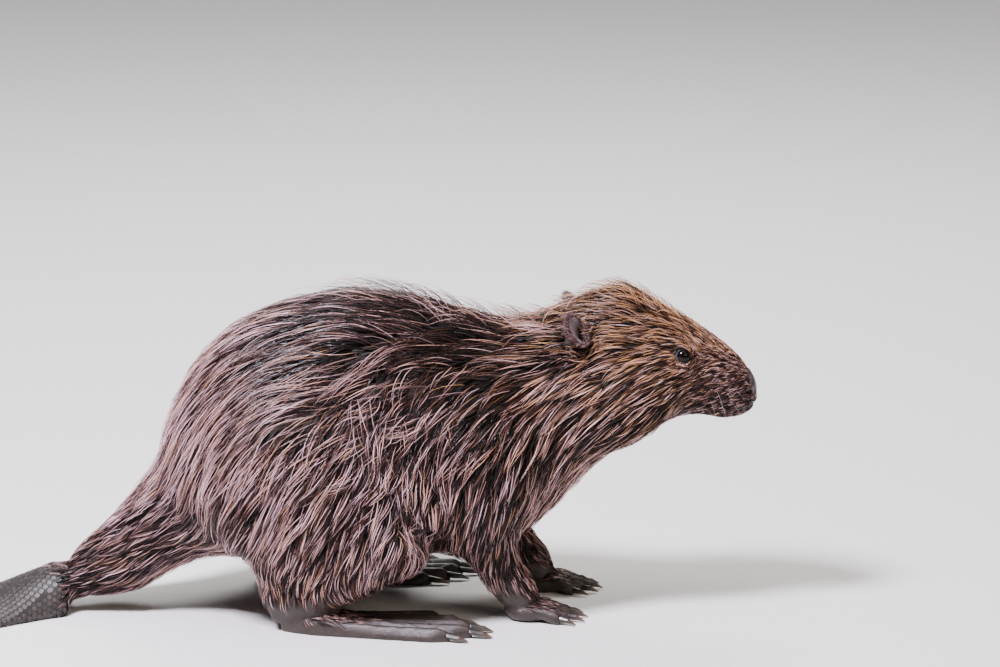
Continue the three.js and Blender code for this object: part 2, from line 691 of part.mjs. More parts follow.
const wholeHead = inFrontOf(toSolid(meshField(trunkField, REGIONS.head)), CUTS.headNeck);
let nose = wholeHead.intersect(noseBlock(0));
let head = wholeHead.subtract(noseBlock(GAP));
for (const [side, s] of Object.entries(SIDES)) {
  const eyeCentre = mirrored(side, EYE.centre);
  const eyeRadii = [EYE.radius, EYE.radius, EYE.radius];
  pieces[`eye_${side}`] = ball(eyeCentre, eyeRadii);
  head = head.subtract(ball(eyeCentre, grown(eyeRadii)));

  const earTurn = { yaw: s * EAR.turn, roll: -s * EAR.lean };
  const earCentre = mirrored(side, EAR.centre);
  const hollowCentre = mirrored(side, EAR.centre.map((v, k) => v + EAR.opening[k]));
  const hollow = ball(hollowCentre, grown(EAR.cup, -EAR.wall), earTurn);
  pieces[`ear_${side}`] = mainBody(ball(earCentre, EAR.cup, earTurn).subtract(hollow));
  head = head.subtract(ball(earCentre, grown(EAR.cup), earTurn));

  nose = nose.subtract(ball(mirrored(side, NOSTRIL.centre), NOSTRIL.radii, { around: 7, down: 4 }));
}
pieces.nose_pad = mainBody(nose);
pieces.lower_jaw = mainBody(head.intersect(jawBlock(GAP / 2)));
pieces.head = mainBody(head.subtract(jawBlock(-GAP / 2)));

// ---------------------------------------------------------------- colours and assembly
// The first pattern that a name fits gives its colour and roughness.
const FINISHES = [
  [/^eye/, 0x120c0a, 0.1],
  [/^claw/, 0x2e2723, 0.4],
  [/^nose/, 0x3b3230, 0.5],
  [/^(tail_paddle|hind_foot)/, 0x3a3532, 0.6],
  [/^fore_paw/, 0x33291f, 0.7],
  [/^ear/, 0x4a3d36, 0.8],
  [/./, 0x6d4c36, 0.85],
];

const beaver = new THREE.Group();
for (const [name, solid] of Object.entries(pieces)) {
  const [, color, roughness] = FINISHES.find(([pattern]) => pattern.test(name));
  const material = new THREE.MeshStandardMaterial({ color, roughness, metalness: 0 });
  const mesh = new THREE.Mesh(toGeometry(solid), material);
  mesh.name = name;
  beaver.add(mesh);
}
// The origin lies on the floor, under the middle of the animal's box.
const size = new THREE.Box3().setFromObject(beaver);
beaver.position.set(-(size.min.x + size.max.x) / 2, -(size.min.y + size.max.y) / 2, 0);

export default beaver;
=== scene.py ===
"""A life-size Eurasian beaver, wet from the water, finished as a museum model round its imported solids.

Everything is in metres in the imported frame: nose towards +X, the animal's left towards +Y, floor at Z = 0.
Sizes in the tables are in millimetres from HOME, for the animal's left side, and are mirrored to the right.
"""

import logging
import math
from dataclasses import dataclass, field
from enum import Enum

import bmesh
import bpy
import numpy as np
from bpy.types import Material, Mesh, Node, NodeSocket, NodeTree, Object
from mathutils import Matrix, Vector
from mathutils.bvhtree import BVHTree
from mathutils.kdtree import KDTree


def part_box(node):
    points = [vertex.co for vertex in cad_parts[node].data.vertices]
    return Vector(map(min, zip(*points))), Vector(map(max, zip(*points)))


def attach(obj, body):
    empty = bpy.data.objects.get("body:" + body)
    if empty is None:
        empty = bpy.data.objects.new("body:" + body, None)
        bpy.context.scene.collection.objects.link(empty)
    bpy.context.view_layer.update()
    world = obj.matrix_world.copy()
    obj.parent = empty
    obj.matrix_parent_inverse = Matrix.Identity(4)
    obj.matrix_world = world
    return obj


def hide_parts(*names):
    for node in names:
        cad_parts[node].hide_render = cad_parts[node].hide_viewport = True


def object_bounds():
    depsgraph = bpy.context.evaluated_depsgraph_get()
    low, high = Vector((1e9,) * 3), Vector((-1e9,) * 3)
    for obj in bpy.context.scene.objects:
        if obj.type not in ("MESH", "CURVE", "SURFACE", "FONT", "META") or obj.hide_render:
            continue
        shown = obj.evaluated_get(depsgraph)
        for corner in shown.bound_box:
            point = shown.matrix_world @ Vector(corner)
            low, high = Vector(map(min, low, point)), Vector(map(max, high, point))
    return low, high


Array, Pair, Triple, Colours = np.ndarray, tuple[float, float], tuple[float, float, float], tuple[str, str]

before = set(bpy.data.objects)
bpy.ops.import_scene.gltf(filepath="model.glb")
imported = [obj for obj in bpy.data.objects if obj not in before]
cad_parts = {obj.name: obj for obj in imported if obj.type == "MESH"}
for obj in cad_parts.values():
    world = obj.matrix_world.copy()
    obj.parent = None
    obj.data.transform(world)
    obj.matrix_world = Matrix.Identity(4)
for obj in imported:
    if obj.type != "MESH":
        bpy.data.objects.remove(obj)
CAD_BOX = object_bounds()

LOG = logging.getLogger("beaver")
MM = 0.001
SEED = 11
NOSE_AHEAD = 256.93 * MM  # from HOME to the tip of the nose
TAIL_FROM = -240.0  # in millimetres from HOME: the feet lie ahead of this, and the tail behind it
HOME = np.array((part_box("nose_pad")[1].x - NOSE_AHEAD, 0.0002, 0.0))  # on the floor under the middle of the back


class Side(Enum):
    """Which side of the animal; the value is the sign of Y."""

    LEFT = 1
    RIGHT = -1

    @property
    def word(self) -> str:
        """The side's word in the names of pieces."""
        return self.name.lower()


# ---- small helpers
def place(x: float, y: float, z: float) -> Array:
    """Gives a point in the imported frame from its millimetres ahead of, left of and above HOME."""
    return HOME + np.array((x, y, z)) * MM


def mirrored(vector: Triple, side: Side) -> Array:
    """Gives a left side's triple of numbers as the given side's."""
    return np.array((vector[0], vector[1] * side.value, vector[2]))


def linear(colour: str) -> tuple[float, float, float, float]:
    """Turns an sRGB hex colour to linear light.

    Args:
        colour: Six hex digits, such as "6b4a35".

    Returns:
        Red, green, blue and an alpha of one.
    """
    channels = [int(colour[i : i + 2], 16) / 255 for i in (0, 2, 4)]
    light = [c / 12.92 if c <= 0.04045 else ((c + 0.055) / 1.055) ** 2.4 for c in channels]
    return light[0], light[1], light[2], 1.0


def unit(v: Array) -> Array:
    """Scales each row of an array to length one."""
    return v / np.maximum(np.linalg.norm(v, axis=-1, keepdims=True), 1e-9)


def smooth_step(low: float, high: float, x: Array) -> Array:
    """Rises smoothly from 0 at low to 1 at high."""
    t = np.clip((x - low) / (high - low), 0, 1)
    return t * t * (3 - 2 * t)


def bell(x: Array, middle: float, width: float) -> Array:
    """Gives 1 at the middle, falling away smoothly over the width."""
    return np.exp(-(((x - middle) / width) ** 2))


def fill(tree: NodeTree, node: Node, inputs: dict) -> None:
    """Links or sets a node's inputs.

    Args:
        tree: The node tree that it is in.
        node: The node.
        inputs: For each input's name or number, a node or socket to link, or a value to set.
    """
    for name, value in inputs.items():
        value = value.outputs[0] if isinstance(value, Node) else value
        if isinstance(value, NodeSocket):
            tree.links.new(value, node.inputs[name])
        else:
            node.inputs[name].default_value = value


def add_node(tree: NodeTree, kind: str, inputs: dict | None = None, stops: tuple = (), **settings) -> Node:
    """Adds a node with its settings and links.

    Args:
        tree: The node tree that it goes into.
        kind: The node's type name.
        inputs: What its inputs are linked to or set to.
        stops: For a colour ramp, pairs of a place from 0 to 1 and a hex colour.
        settings: Properties of the node itself.

    Returns:
        The new node.
    """
    node = tree.nodes.new(kind)
    for name, value in settings.items():
        setattr(node, name, value)
    fill(tree, node, inputs or {})
    if stops:
        elements = node.color_ramp.elements
        while len(elements) < len(stops):
            elements.new(0.5)
        for element, (position, colour) in zip(elements, stops):
            element.position, element.color = position, linear(colour)
    return node


def new_material(name: str) -> tuple[Material, NodeTree, Node]:
    """Makes a node material.

    Args:
        name: Its name.

    Returns:
        The material, its tree and its Principled node.
    """
    material = bpy.data.materials.new(name)
    material.use_nodes = True
    tree = material.node_tree
    return material, tree, tree.nodes["Principled BSDF"]


def mesh_piece(name: str, points: Array, faces: Array, material: Material) -> Object:
    """Makes a smooth mesh object from arrays, with its origin at the frame's.

    Args:
        name: The piece's name.
        points: Vertices, N by 3, in metres.
        faces: Vertex numbers, M by 3 or M by 4.
        material: The one material on it.

    Returns:
        The object, in the scene.
    """
    mesh = bpy.data.meshes.new(name)
    sides = faces.shape[1]
    mesh.vertices.add(len(points))
    mesh.vertices.foreach_set("co", np.ascontiguousarray(points, np.float32).ravel())
    mesh.loops.add(faces.size)
    mesh.loops.foreach_set("vertex_index", np.ascontiguousarray(faces, np.int32).ravel())
    mesh.polygons.add(len(faces))
    mesh.polygons.foreach_set("loop_start", np.arange(0, faces.size, sides, dtype=np.int32))
    mesh.polygons.foreach_set("use_smooth", np.ones(len(faces), bool))
    mesh.update(calc_edges=True)
    mesh.materials.append(material)
    piece = bpy.data.objects.new(name, mesh)
    bpy.context.scene.collection.objects.link(piece)
    return piece


def loop_faces(rows: int, columns: int, closed_rows: bool = False) -> Array:
    """Gives the quads of a grid of points whose columns run round in a ring.

    Args:
        rows: How many rings.
        columns: Points in each ring.
        closed_rows: Whether the last ring joins the first.

    Returns:
        Vertex numbers, M by 4.
    """
    row, column = np.meshgrid(np.arange(rows if closed_rows else rows - 1), np.arange(columns), indexing="ij")
    after, beside = (row + 1) % rows, (column + 1) % columns
    corners = (row * columns + column, row * columns + beside, after * columns + beside, after * columns + column)
    return np.stack(corners, -1).reshape(-1, 4)


def set_values(piece: Object, name: str, values: Array) -> None:
    """Stores one number for each vertex of a piece, for its material to read."""
    attribute = piece.data.attributes.new(name, "FLOAT", "POINT")
    attribute.data.foreach_set("value", np.ascontiguousarray(values, np.float32))


def read_threes(items: bpy.types.bpy_prop_collection, key: str, kind: type = np.float32) -> Array:
    """Reads three numbers from each of a mesh's vertices, normals or triangles.

    Args:
        items: What they are read from.
        key: The property that holds them.
        kind: The type of number.

    Returns:
        N by 3.
    """
    numbers = np.empty(len(items) * 3, kind)
    items.foreach_get(key, numbers)
    return numbers.reshape(-1, 3)


def vertices_of(mesh: Mesh) -> Array:
    """Gives a mesh's vertices, N by 3."""
    return read_threes(mesh.vertices, "co").astype(float)


def normals_of(mesh: Mesh) -> Array:
    """Gives a mesh's vertex normals, N by 3."""
    return read_threes(mesh.vertex_normals, "vector").astype(float)


def triangles_of(mesh: Mesh) -> Array:
    """Gives the vertex numbers of a mesh's triangles, M by 3."""
    mesh.calc_loop_triangles()
    return read_threes(mesh.loop_triangles, "vertices", np.int32)


def move_vertices(mesh: Mesh, points: Array) -> None:
    """Puts a mesh's vertices at new places."""
    mesh.vertices.foreach_set("co", np.ascontiguousarray(points, np.float32).ravel())
    mesh.update()


def welded(mesh: Mesh) -> tuple[Array, Array]:
    """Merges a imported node's loose triangles.

    Args:
        mesh: The node's mesh, which isn't changed.

    Returns:
        Points, N by 3, and triangles, M by 3.
    """
    corners, apart = vertices_of(mesh), 1e-6
    _, first, where = np.unique(np.round(corners / apart), axis=0, return_index=True, return_inverse=True)
    return corners[first], where.reshape(-1)[triangles_of(mesh)]


def apply_modifiers(piece: Object) -> None:
    """Replaces a piece's mesh with what its modifiers make of it, and removes them.

    Args:
        piece: The piece.
    """
    graph = bpy.context.evaluated_depsgraph_get()
    made = bpy.data.meshes.new_from_object(piece.evaluated_get(graph), depsgraph=graph)
    piece.modifiers.clear()
    piece.data = made
    made.name = piece.name


def remeshed(piece: Object, voxel: float, factor: float, rounds: int, group: str = "") -> None:
    """Closes a piece's mesh over at one spacing and smooths it.

    Args:
        piece: The piece, whose mesh is replaced.
        voxel: The spacing, or 0 to leave the mesh as it is.
        factor: How far each round of smoothing goes.
        rounds: How many there are.
        group: The vertex group that holds the smoothing back, if there is one.
    """
    if voxel:
        closer = piece.modifiers.new("close", "REMESH")
        closer.mode = "VOXEL"
        closer.voxel_size = voxel
        closer.use_smooth_shade = True
    if rounds:
        smoother = piece.modifiers.new("smooth", "SMOOTH")
        smoother.factor = factor
        smoother.iterations = rounds
        smoother.vertex_group = group
    apply_modifiers(piece)


def finish_piece(piece: Object, replaced: tuple[str, ...] = ()) -> None:
    """Says what a piece rides on and stands for, and reports it.

    Args:
        piece: The piece.
        replaced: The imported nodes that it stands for.
    """
    if replaced:
        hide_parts(*replaced)
    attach(piece, "root")
    LOG.info("%s: %d triangles", piece.name, len(triangles_of(piece.data)))


# ---- geometry-node helpers
def node_group(name: str, **inputs: tuple[str, object]) -> tuple[NodeTree, dict, Node]:
    """Makes an empty geometry-node tree with named inputs.

    Args:
        name: The tree's name.
        inputs: For each input, its socket type and its starting value, or None where it has none.

    Returns:
        The tree, its inputs' sockets by name, and its output node.
    """
    tree = bpy.data.node_groups.new(name, "GeometryNodeTree")
    tree.interface.new_socket("Geometry", in_out="INPUT", socket_type="NodeSocketGeometry")
    for title, (kind, value) in inputs.items():
        socket = tree.interface.new_socket(title, in_out="INPUT", socket_type=kind)
        if value is not None:
            socket.default_value = value
    tree.interface.new_socket("Geometry", in_out="OUTPUT", socket_type="NodeSocketGeometry")
    entry, leave = tree.nodes.new("NodeGroupInput"), tree.nodes.new("NodeGroupOutput")
    return tree, {socket.name: socket for socket in entry.outputs if socket.name}, leave


def grow_on_points(name: str, points: Array, vectors: dict[str, Array], tree: NodeTree, **values) -> Object:
    """Runs a tree on a cloud of points and turns the result into a plain mesh, kept above the floor.

    Args:
        name: The piece's name.
        points: N by 3.
        vectors: Named vectors at the points, or numbers, for the tree to read.
        tree: The geometry-node tree.
        values: The tree's inputs by name.

    Returns:
        The piece.
    """
    mesh = bpy.data.meshes.new(name)
    mesh.vertices.add(len(points))
    mesh.vertices.foreach_set("co", np.ascontiguousarray(points, np.float32).ravel())
    for title, array in vectors.items():
        kind, key = ("FLOAT_VECTOR", "vector") if array.ndim == 2 else ("FLOAT", "value")
        mesh.attributes.new(title, kind, "POINT").data.foreach_set(key, array.astype(np.float32).ravel())
    piece = bpy.data.objects.new(name, mesh)
    bpy.context.scene.collection.objects.link(piece)
    modifier = piece.modifiers.new(tree.name, "NODES")
    modifier.node_group = tree
    for item in tree.interface.items_tree:
        if item.in_out == "INPUT" and item.name in values:
            modifier[item.identifier] = values[item.name]
    apply_modifiers(piece)
    grown = vertices_of(piece.data)
    grown[:, 2] = np.maximum(grown[:, 2], 0)
    move_vertices(piece.data, grown)
    return piece


# ---- the sizes of the face
@dataclass(frozen=True)
class EyeSizes:
    """One eye, the way that it looks, and its lids."""

    centre: Triple = (191.5, 35.6, 228.0)
    axis: Triple = (0.22, 0.94, 0.22)
    ball: float = 8.5  # the ball's radius
    cornea: float = 0.45  # how far the cornea stands out of the ball
    opening: Pair = (6.5, 5.8)  # half the length and half the height of the slit between the lids
    lid: float = 0.9  # thickness of the lids over the ball
    bare: float = 8.2  # radius of the hairless ring
    slant: float = -0.12  # how far the slit falls for each step ahead
    socket: float = 19.0  # how far from the middle the lids' skin is shaped
    # for each fold of the lids, its depth, distance from the axis and width
    creases: tuple[Triple, ...] = ((0.35, 9.6, 0.5), (0.3, 11.8, 0.5))
    fold: Triple = (0.2, 1.3, 0.06)  # the same for the fold beside the slit, in slits

    def frame(self, side: Side) -> tuple[Array, Array, Array, Array]:
        """Gives where one eye is and how it is turned.

        Args:
            side: Which eye.

        Returns:
            Its middle, its axis, the way along the slit towards the nose, and the way up.
        """
        axis = unit(mirrored(self.axis, side))
        ahead = np.array((1.0, 0.0, self.slant))
        along = unit(ahead - axis * (ahead @ axis))
        up = np.cross(axis, along)
        return place(*mirrored(self.centre, side)), axis, along, up * np.sign(up[2])


@dataclass(frozen=True)
class EarSizes:
    """One ear: a small, thick, rounded cup, deepest behind, and the ways that it opens and stands."""

    centre: Triple = (103.8, 41.4, 249.2)
    out: Triple = (0.12, 0.88, 0.42)
    up: Triple = (-0.3, 0.1, 1.0)
    rim: Pair = (9.0, 14.5)  # half its width and half its height, as for the root and the canal's pit
    root: Pair = (8.5, 11.5)
    pit: Pair = (2.6, 4.0)
    stand: Pair = (-1.0, 16.5)  # how far the rim stands out, in front and behind
    deep: float = 6.0  # how far the root goes under the skin
    wall: Pair = (1.3, 2.4)  # thickness at the rim and at the root

    def frame(self, side: Side) -> tuple[Array, Array, Array, Array]:
        """Gives where one ear is and how it is turned.

        Args:
            side: Which ear.

        Returns:
            Its middle, the way out, the way ahead across it, and the way up.
        """
        out = unit(mirrored(self.out, side))
        up = mirrored(self.up, side)
        up = unit(up - out * (up @ out))
        ahead = np.cross(up, out)
        return place(*mirrored(self.centre, side)), out, ahead * np.sign(ahead[0]), up


@dataclass(frozen=True)
class NoseSizes:
    """The nose leather, a rounded pad that narrows upwards."""

    centre: Triple = (255.0, 0.0, 198.0)
    half: Triple = (12.0, 20.5, 15.0)  # how far it reaches ahead, aside and up
    narrows: float = 9.0  # how much of its half width is lost upwards
    between: Pair = (-2.0, 14.0)  # the heights over its middle between which that happens


@dataclass(frozen=True)
class LipSizes:
    """The gap between the jaws, which rises straight towards the nose."""

    front: float = 250.0  # how far ahead of HOME its height is given
    level: float = 181.5  # that height
    rise: float = 0.27  # how much higher it is for each millimetre ahead
    corner: Pair = (210.0, 222.0)  # between which places ahead of HOME the mouth's corner lies
    # for each swelling and groove, how far it stands, its height over the gap and its width
    folds: tuple[Triple, ...] = ((0.9, 2.4, 1.3), (0.6, -2.6, 1.4), (-2.6, 0.0, 0.9))


EYE, EAR, NOSE, LIP = EyeSizes(), EarSizes(), NoseSizes(), LipSizes()


# ---- the lie of the coat
class Region(Enum):
    """The stretches of coat, each of which is one piece on each side."""

    FACE = "face"
    HEAD = "head"
    NECK = "neck"
    BACK = "back"
    SIDE = "side"
    HAUNCH = "haunch"
    ARM = "arm"
    BELLY = "belly"
    TAIL = "tail_root"
    FOOT = "foot"


@dataclass(frozen=True)
class Lie:
    """How the coat lies at one place on the animal's left side; the right side mirrors it."""

    at: Triple
    way: Triple  # the way that the hairs point, from root to tip
    length: float
    depth: float  # from the skin to the outside of the coat
    width: float  # across one lock
    close: float  # roots in a given area, against the middle of the back
    clump: float  # how far the locks draw together at their tips, from 0 to 1
    tone: float  # from 0, dark, to 1, light
    # toward 0, gold gives greyish locks with a painted lilac sheen, the sky's reflection on wet hair
    gold: float  # from 0, greyish mauve, to 1, golden brown
    tousle: float = 0.1  # how far the locks stray from the way, in radians


LIES = {
    Region.FACE: (
        Lie((246, 16, 202), (-0.7, 0.7, -0.2), 5, 1.0, 0.4, 6.5, 0.3, 0.35, 0.3),
        Lie((238, 24, 185), (-1, 0.4, 0.0), 4.5, 1.1, 0.4, 6.5, 0.3, 0.22, 0.2),
        Lie((238, 0, 176), (-0.9, 0.1, -0.4), 6, 1.3, 0.45, 5.5, 0.3, 0.2, 0.3),
        Lie((235, 0, 226), (-1, 0.05, 0.35), 9, 1.8, 0.5, 6.0, 0.4, 0.4, 0.7),
        Lie((212, 0, 246), (-1, 0.1, 0.3), 13, 2.5, 0.65, 5.0, 0.5, 0.48, 0.9),
        Lie((214, 32, 208), (-1, 0.3, -0.25), 10, 2.2, 0.55, 6.0, 0.4, 0.22, 0.3),
        Lie((222, 30, 190), (-1, 0.4, -0.35), 8, 1.8, 0.5, 6.0, 0.4, 0.15, 0.2),
        Lie((193, 36, 241), (-1, 0.15, 0.35), 9, 1.8, 0.5, 6.0, 0.4, 0.55, 0.8),
        Lie((193, 38, 215), (-1, 0.15, -0.35), 10, 1.8, 0.55, 6.0, 0.4, 0.5, 0.6),
        Lie((176, 40, 228), (-1, 0.2, 0.0), 13, 2.5, 0.6, 5.0, 0.5, 0.48, 0.8),
    ),
    Region.HEAD: (
        Lie((180, 0, 266), (-1, 0.12, 0.25), 22, 5, 0.8, 2.6, 0.7, 0.42, 0.95),
        Lie((150, 0, 284), (-1, 0.1, 0.2), 32, 7, 0.9, 1.9, 0.75, 0.4, 0.9),
        Lie((120, 0, 286), (-1, 0.1, 0.25), 38, 9, 1.0, 1.6, 0.75, 0.45, 0.75, 0.14),
        Lie((150, 52, 235), (-1, 0.2, -0.1), 26, 5, 0.8, 2.4, 0.75, 0.5, 0.95),
        Lie((165, 52, 200), (-1, 0.2, -0.5), 24, 5, 0.8, 2.4, 0.75, 0.42, 0.6),
        Lie((130, 60, 190), (-0.8, 0.2, -0.8), 38, 7, 1.0, 1.7, 0.9, 0.55, 0.5),
        Lie((190, 30, 172), (-0.9, 0.2, -0.6), 16, 4, 0.75, 2.8, 0.85, 0.35, 0.4),
        Lie((150, 20, 152), (-0.8, 0.0, -0.7), 28, 6, 0.9, 1.9, 0.9, 0.42, 0.4),
        Lie((110, 20, 130), (-0.9, 0.0, -0.5), 36, 8, 1.0, 1.4, 0.85, 0.4, 0.3),
    ),
    Region.NECK: (
        Lie((85, 0, 279), (-1, 0.1, 0.2), 46, 10, 1.0, 1.2, 0.75, 0.45, 0.6, 0.16),
        Lie((85, 55, 240), (-1, 0.2, -0.15), 44, 9, 1.0, 1.3, 0.9, 0.33, 0.58),
        Lie((85, 64, 195), (-0.8, 0.2, -0.8), 48, 9, 1.1, 1.3, 0.97, 0.5, 0.42),
        Lie((70, 60, 150), (-0.5, 0.1, -1), 46, 9, 1.1, 1.3, 0.97, 0.5, 0.3),
    ),
    # the lies along the top of the back have low tones, as painted shade, and the rump's lies high tones, as painted
    # light
    Region.BACK: (
        Lie((30, 0, 270), (-1, 0.08, 0.05), 56, 11, 1.05, 1.0, 0.8, 0.12, 0.42, 0.16),
        Lie((-60, 0, 286), (-1, 0.1, 0.0), 64, 11, 1.1, 1.0, 0.65, 0.06, 0.3),
        Lie((-150, 0, 276), (-1, 0.12, -0.3), 64, 11, 0.95, 1.1, 0.6, 0.34, 0.2),
        Lie((-215, 0, 235), (-0.75, 0.1, -0.8), 58, 11, 0.9, 1.15, 0.55, 0.66, 0.16),
        Lie((-258, 0, 160), (-0.35, 0.0, -1), 48, 10, 0.88, 1.15, 0.55, 0.66, 0.14),
    ),
    Region.ARM: (
        Lie((30, 78, 215), (-1, 0.15, -0.25), 50, 10, 1.1, 1.1, 0.92, 0.08, 0.48),
        Lie((30, 90, 160), (-0.7, 0.1, -0.9), 48, 9, 1.1, 1.1, 0.95, 0.24, 0.25),
        Lie((20, 84, 110), (-0.3, 0.0, -1), 32, 7, 1.0, 1.4, 0.9, 0.32, 0.25),
        Lie((40, 70, 70), (0.1, 0.1, -1), 18, 4, 0.8, 2.2, 0.75, 0.4, 0.3),
    ),
    Region.SIDE: (
        Lie((-25, 98, 240), (-1, 0.1, 0.15), 54, 10, 1.1, 1.0, 0.65, 0.1, 0.4),
        Lie((-90, 104, 246), (-1, 0.1, -0.1), 62, 10, 1.1, 1.0, 0.65, 0.13, 0.3),
        Lie((-20, 112, 205), (-0.35, 0.0, -1), 27, 13, 0.7, 1.5, 0.6, 0.55, 0.15, 0.5),
        Lie((-80, 118, 200), (-0.45, 0.0, -1), 27, 13, 0.7, 1.5, 0.6, 0.62, 0.12, 0.5),
        Lie((-30, 118, 160), (-0.15, 0.0, -1), 30, 11, 0.75, 1.4, 0.7, 0.61, 0.12, 0.36),
        Lie((-40, 112, 110), (-0.35, 0.0, -1), 34, 10, 1.0, 1.4, 0.75, 0.5, 0.15, 0.2),
    ),
    Region.HAUNCH: (
        Lie((-152, 108, 236), (-1, 0.05, -0.35), 62, 11, 0.92, 1.15, 0.58, 0.54, 0.24),
        Lie((-130, 125, 205), (-1, 0.05, -0.45), 60, 11, 0.92, 1.15, 0.58, 0.52, 0.26),
        Lie((-110, 128, 150), (-0.8, 0.0, -0.8), 40, 10, 0.78, 1.35, 0.65, 0.54, 0.18, 0.26),
        Lie((-170, 118, 150), (-0.6, 0.0, -1), 50, 10, 0.9, 1.15, 0.55, 0.66, 0.16),
        Lie((-215, 80, 170), (-0.5, 0.0, -1), 50, 10, 0.88, 1.15, 0.55, 0.7, 0.14),
        Lie((-120, 122, 90), (-0.45, 0.0, -1), 36, 8, 1.0, 1.6, 0.75, 0.52, 0.2),
        Lie((-190, 95, 80), (-0.5, 0.0, -1), 40, 9, 1.0, 1.2, 0.85, 0.55, 0.12),
        Lie((-80, 105, 65), (-0.4, 0.0, -1), 24, 6, 0.9, 2.4, 0.65, 0.48, 0.25),
        Lie((-130, 95, 50), (-0.5, 0.0, -0.9), 14, 4, 0.8, 2.4, 0.7, 0.4, 0.3),
    ),
    Region.BELLY: (
        Lie((20, 0, 75), (-1, 0.0, -0.1), 34, 8, 1.1, 1.0, 0.7, 0.4, 0.3),
        Lie((-80, 0, 45), (-1, 0.0, -0.1), 34, 8, 1.1, 1.0, 0.7, 0.4, 0.3),
        Lie((-180, 0, 50), (-1, 0.0, -0.2), 34, 8, 1.1, 1.0, 0.7, 0.4, 0.25),
    ),
    Region.TAIL: (
        Lie((-270, 40, 80), (-0.9, 0.0, -0.6), 32, 7, 1.0, 1.5, 0.85, 0.42, 0.1),
        Lie((-300, 10, 60), (-1, 0.0, -0.5), 24, 5, 0.9, 2.0, 0.75, 0.32, 0.15),
        Lie((-335, 0, 40), (-1, -0.1, -0.3), 13, 3, 0.75, 3.0, 0.6, 0.22, 0.2),
    ),
    Region.FOOT: (
        Lie((58, 60, 40), (0.5, 0.1, -0.9), 10, 2, 0.6, 4.5, 0.5, 0.3, 0.3),
        Lie((74, 55, 18), (1, 0.1, -0.35), 6, 0.9, 0.45, 6.0, 0.3, 0.25, 0.3),
        Lie((-148, 90, 34), (0.4, 0.1, -0.9), 9, 2, 0.6, 4.5, 0.4, 0.3, 0.3),
        Lie((-105, 92, 28), (1, 0.1, -0.2), 8, 1.2, 0.5, 5.5, 0.3, 0.25, 0.3),
        Lie((-60, 94, 20), (1, 0.1, -0.2), 6, 0.9, 0.45, 6.0, 0.3, 0.2, 0.3),
    ),
}


@dataclass
class Combed:
    """What the coat does at each of many points: the fields of Lie as arrays, in metres, and the region."""

    way: Array
    length: Array
    depth: Array
    width: Array
    close: Array
    clump: Array
    tone: Array
    gold: Array
    tousle: Array
    region: Array


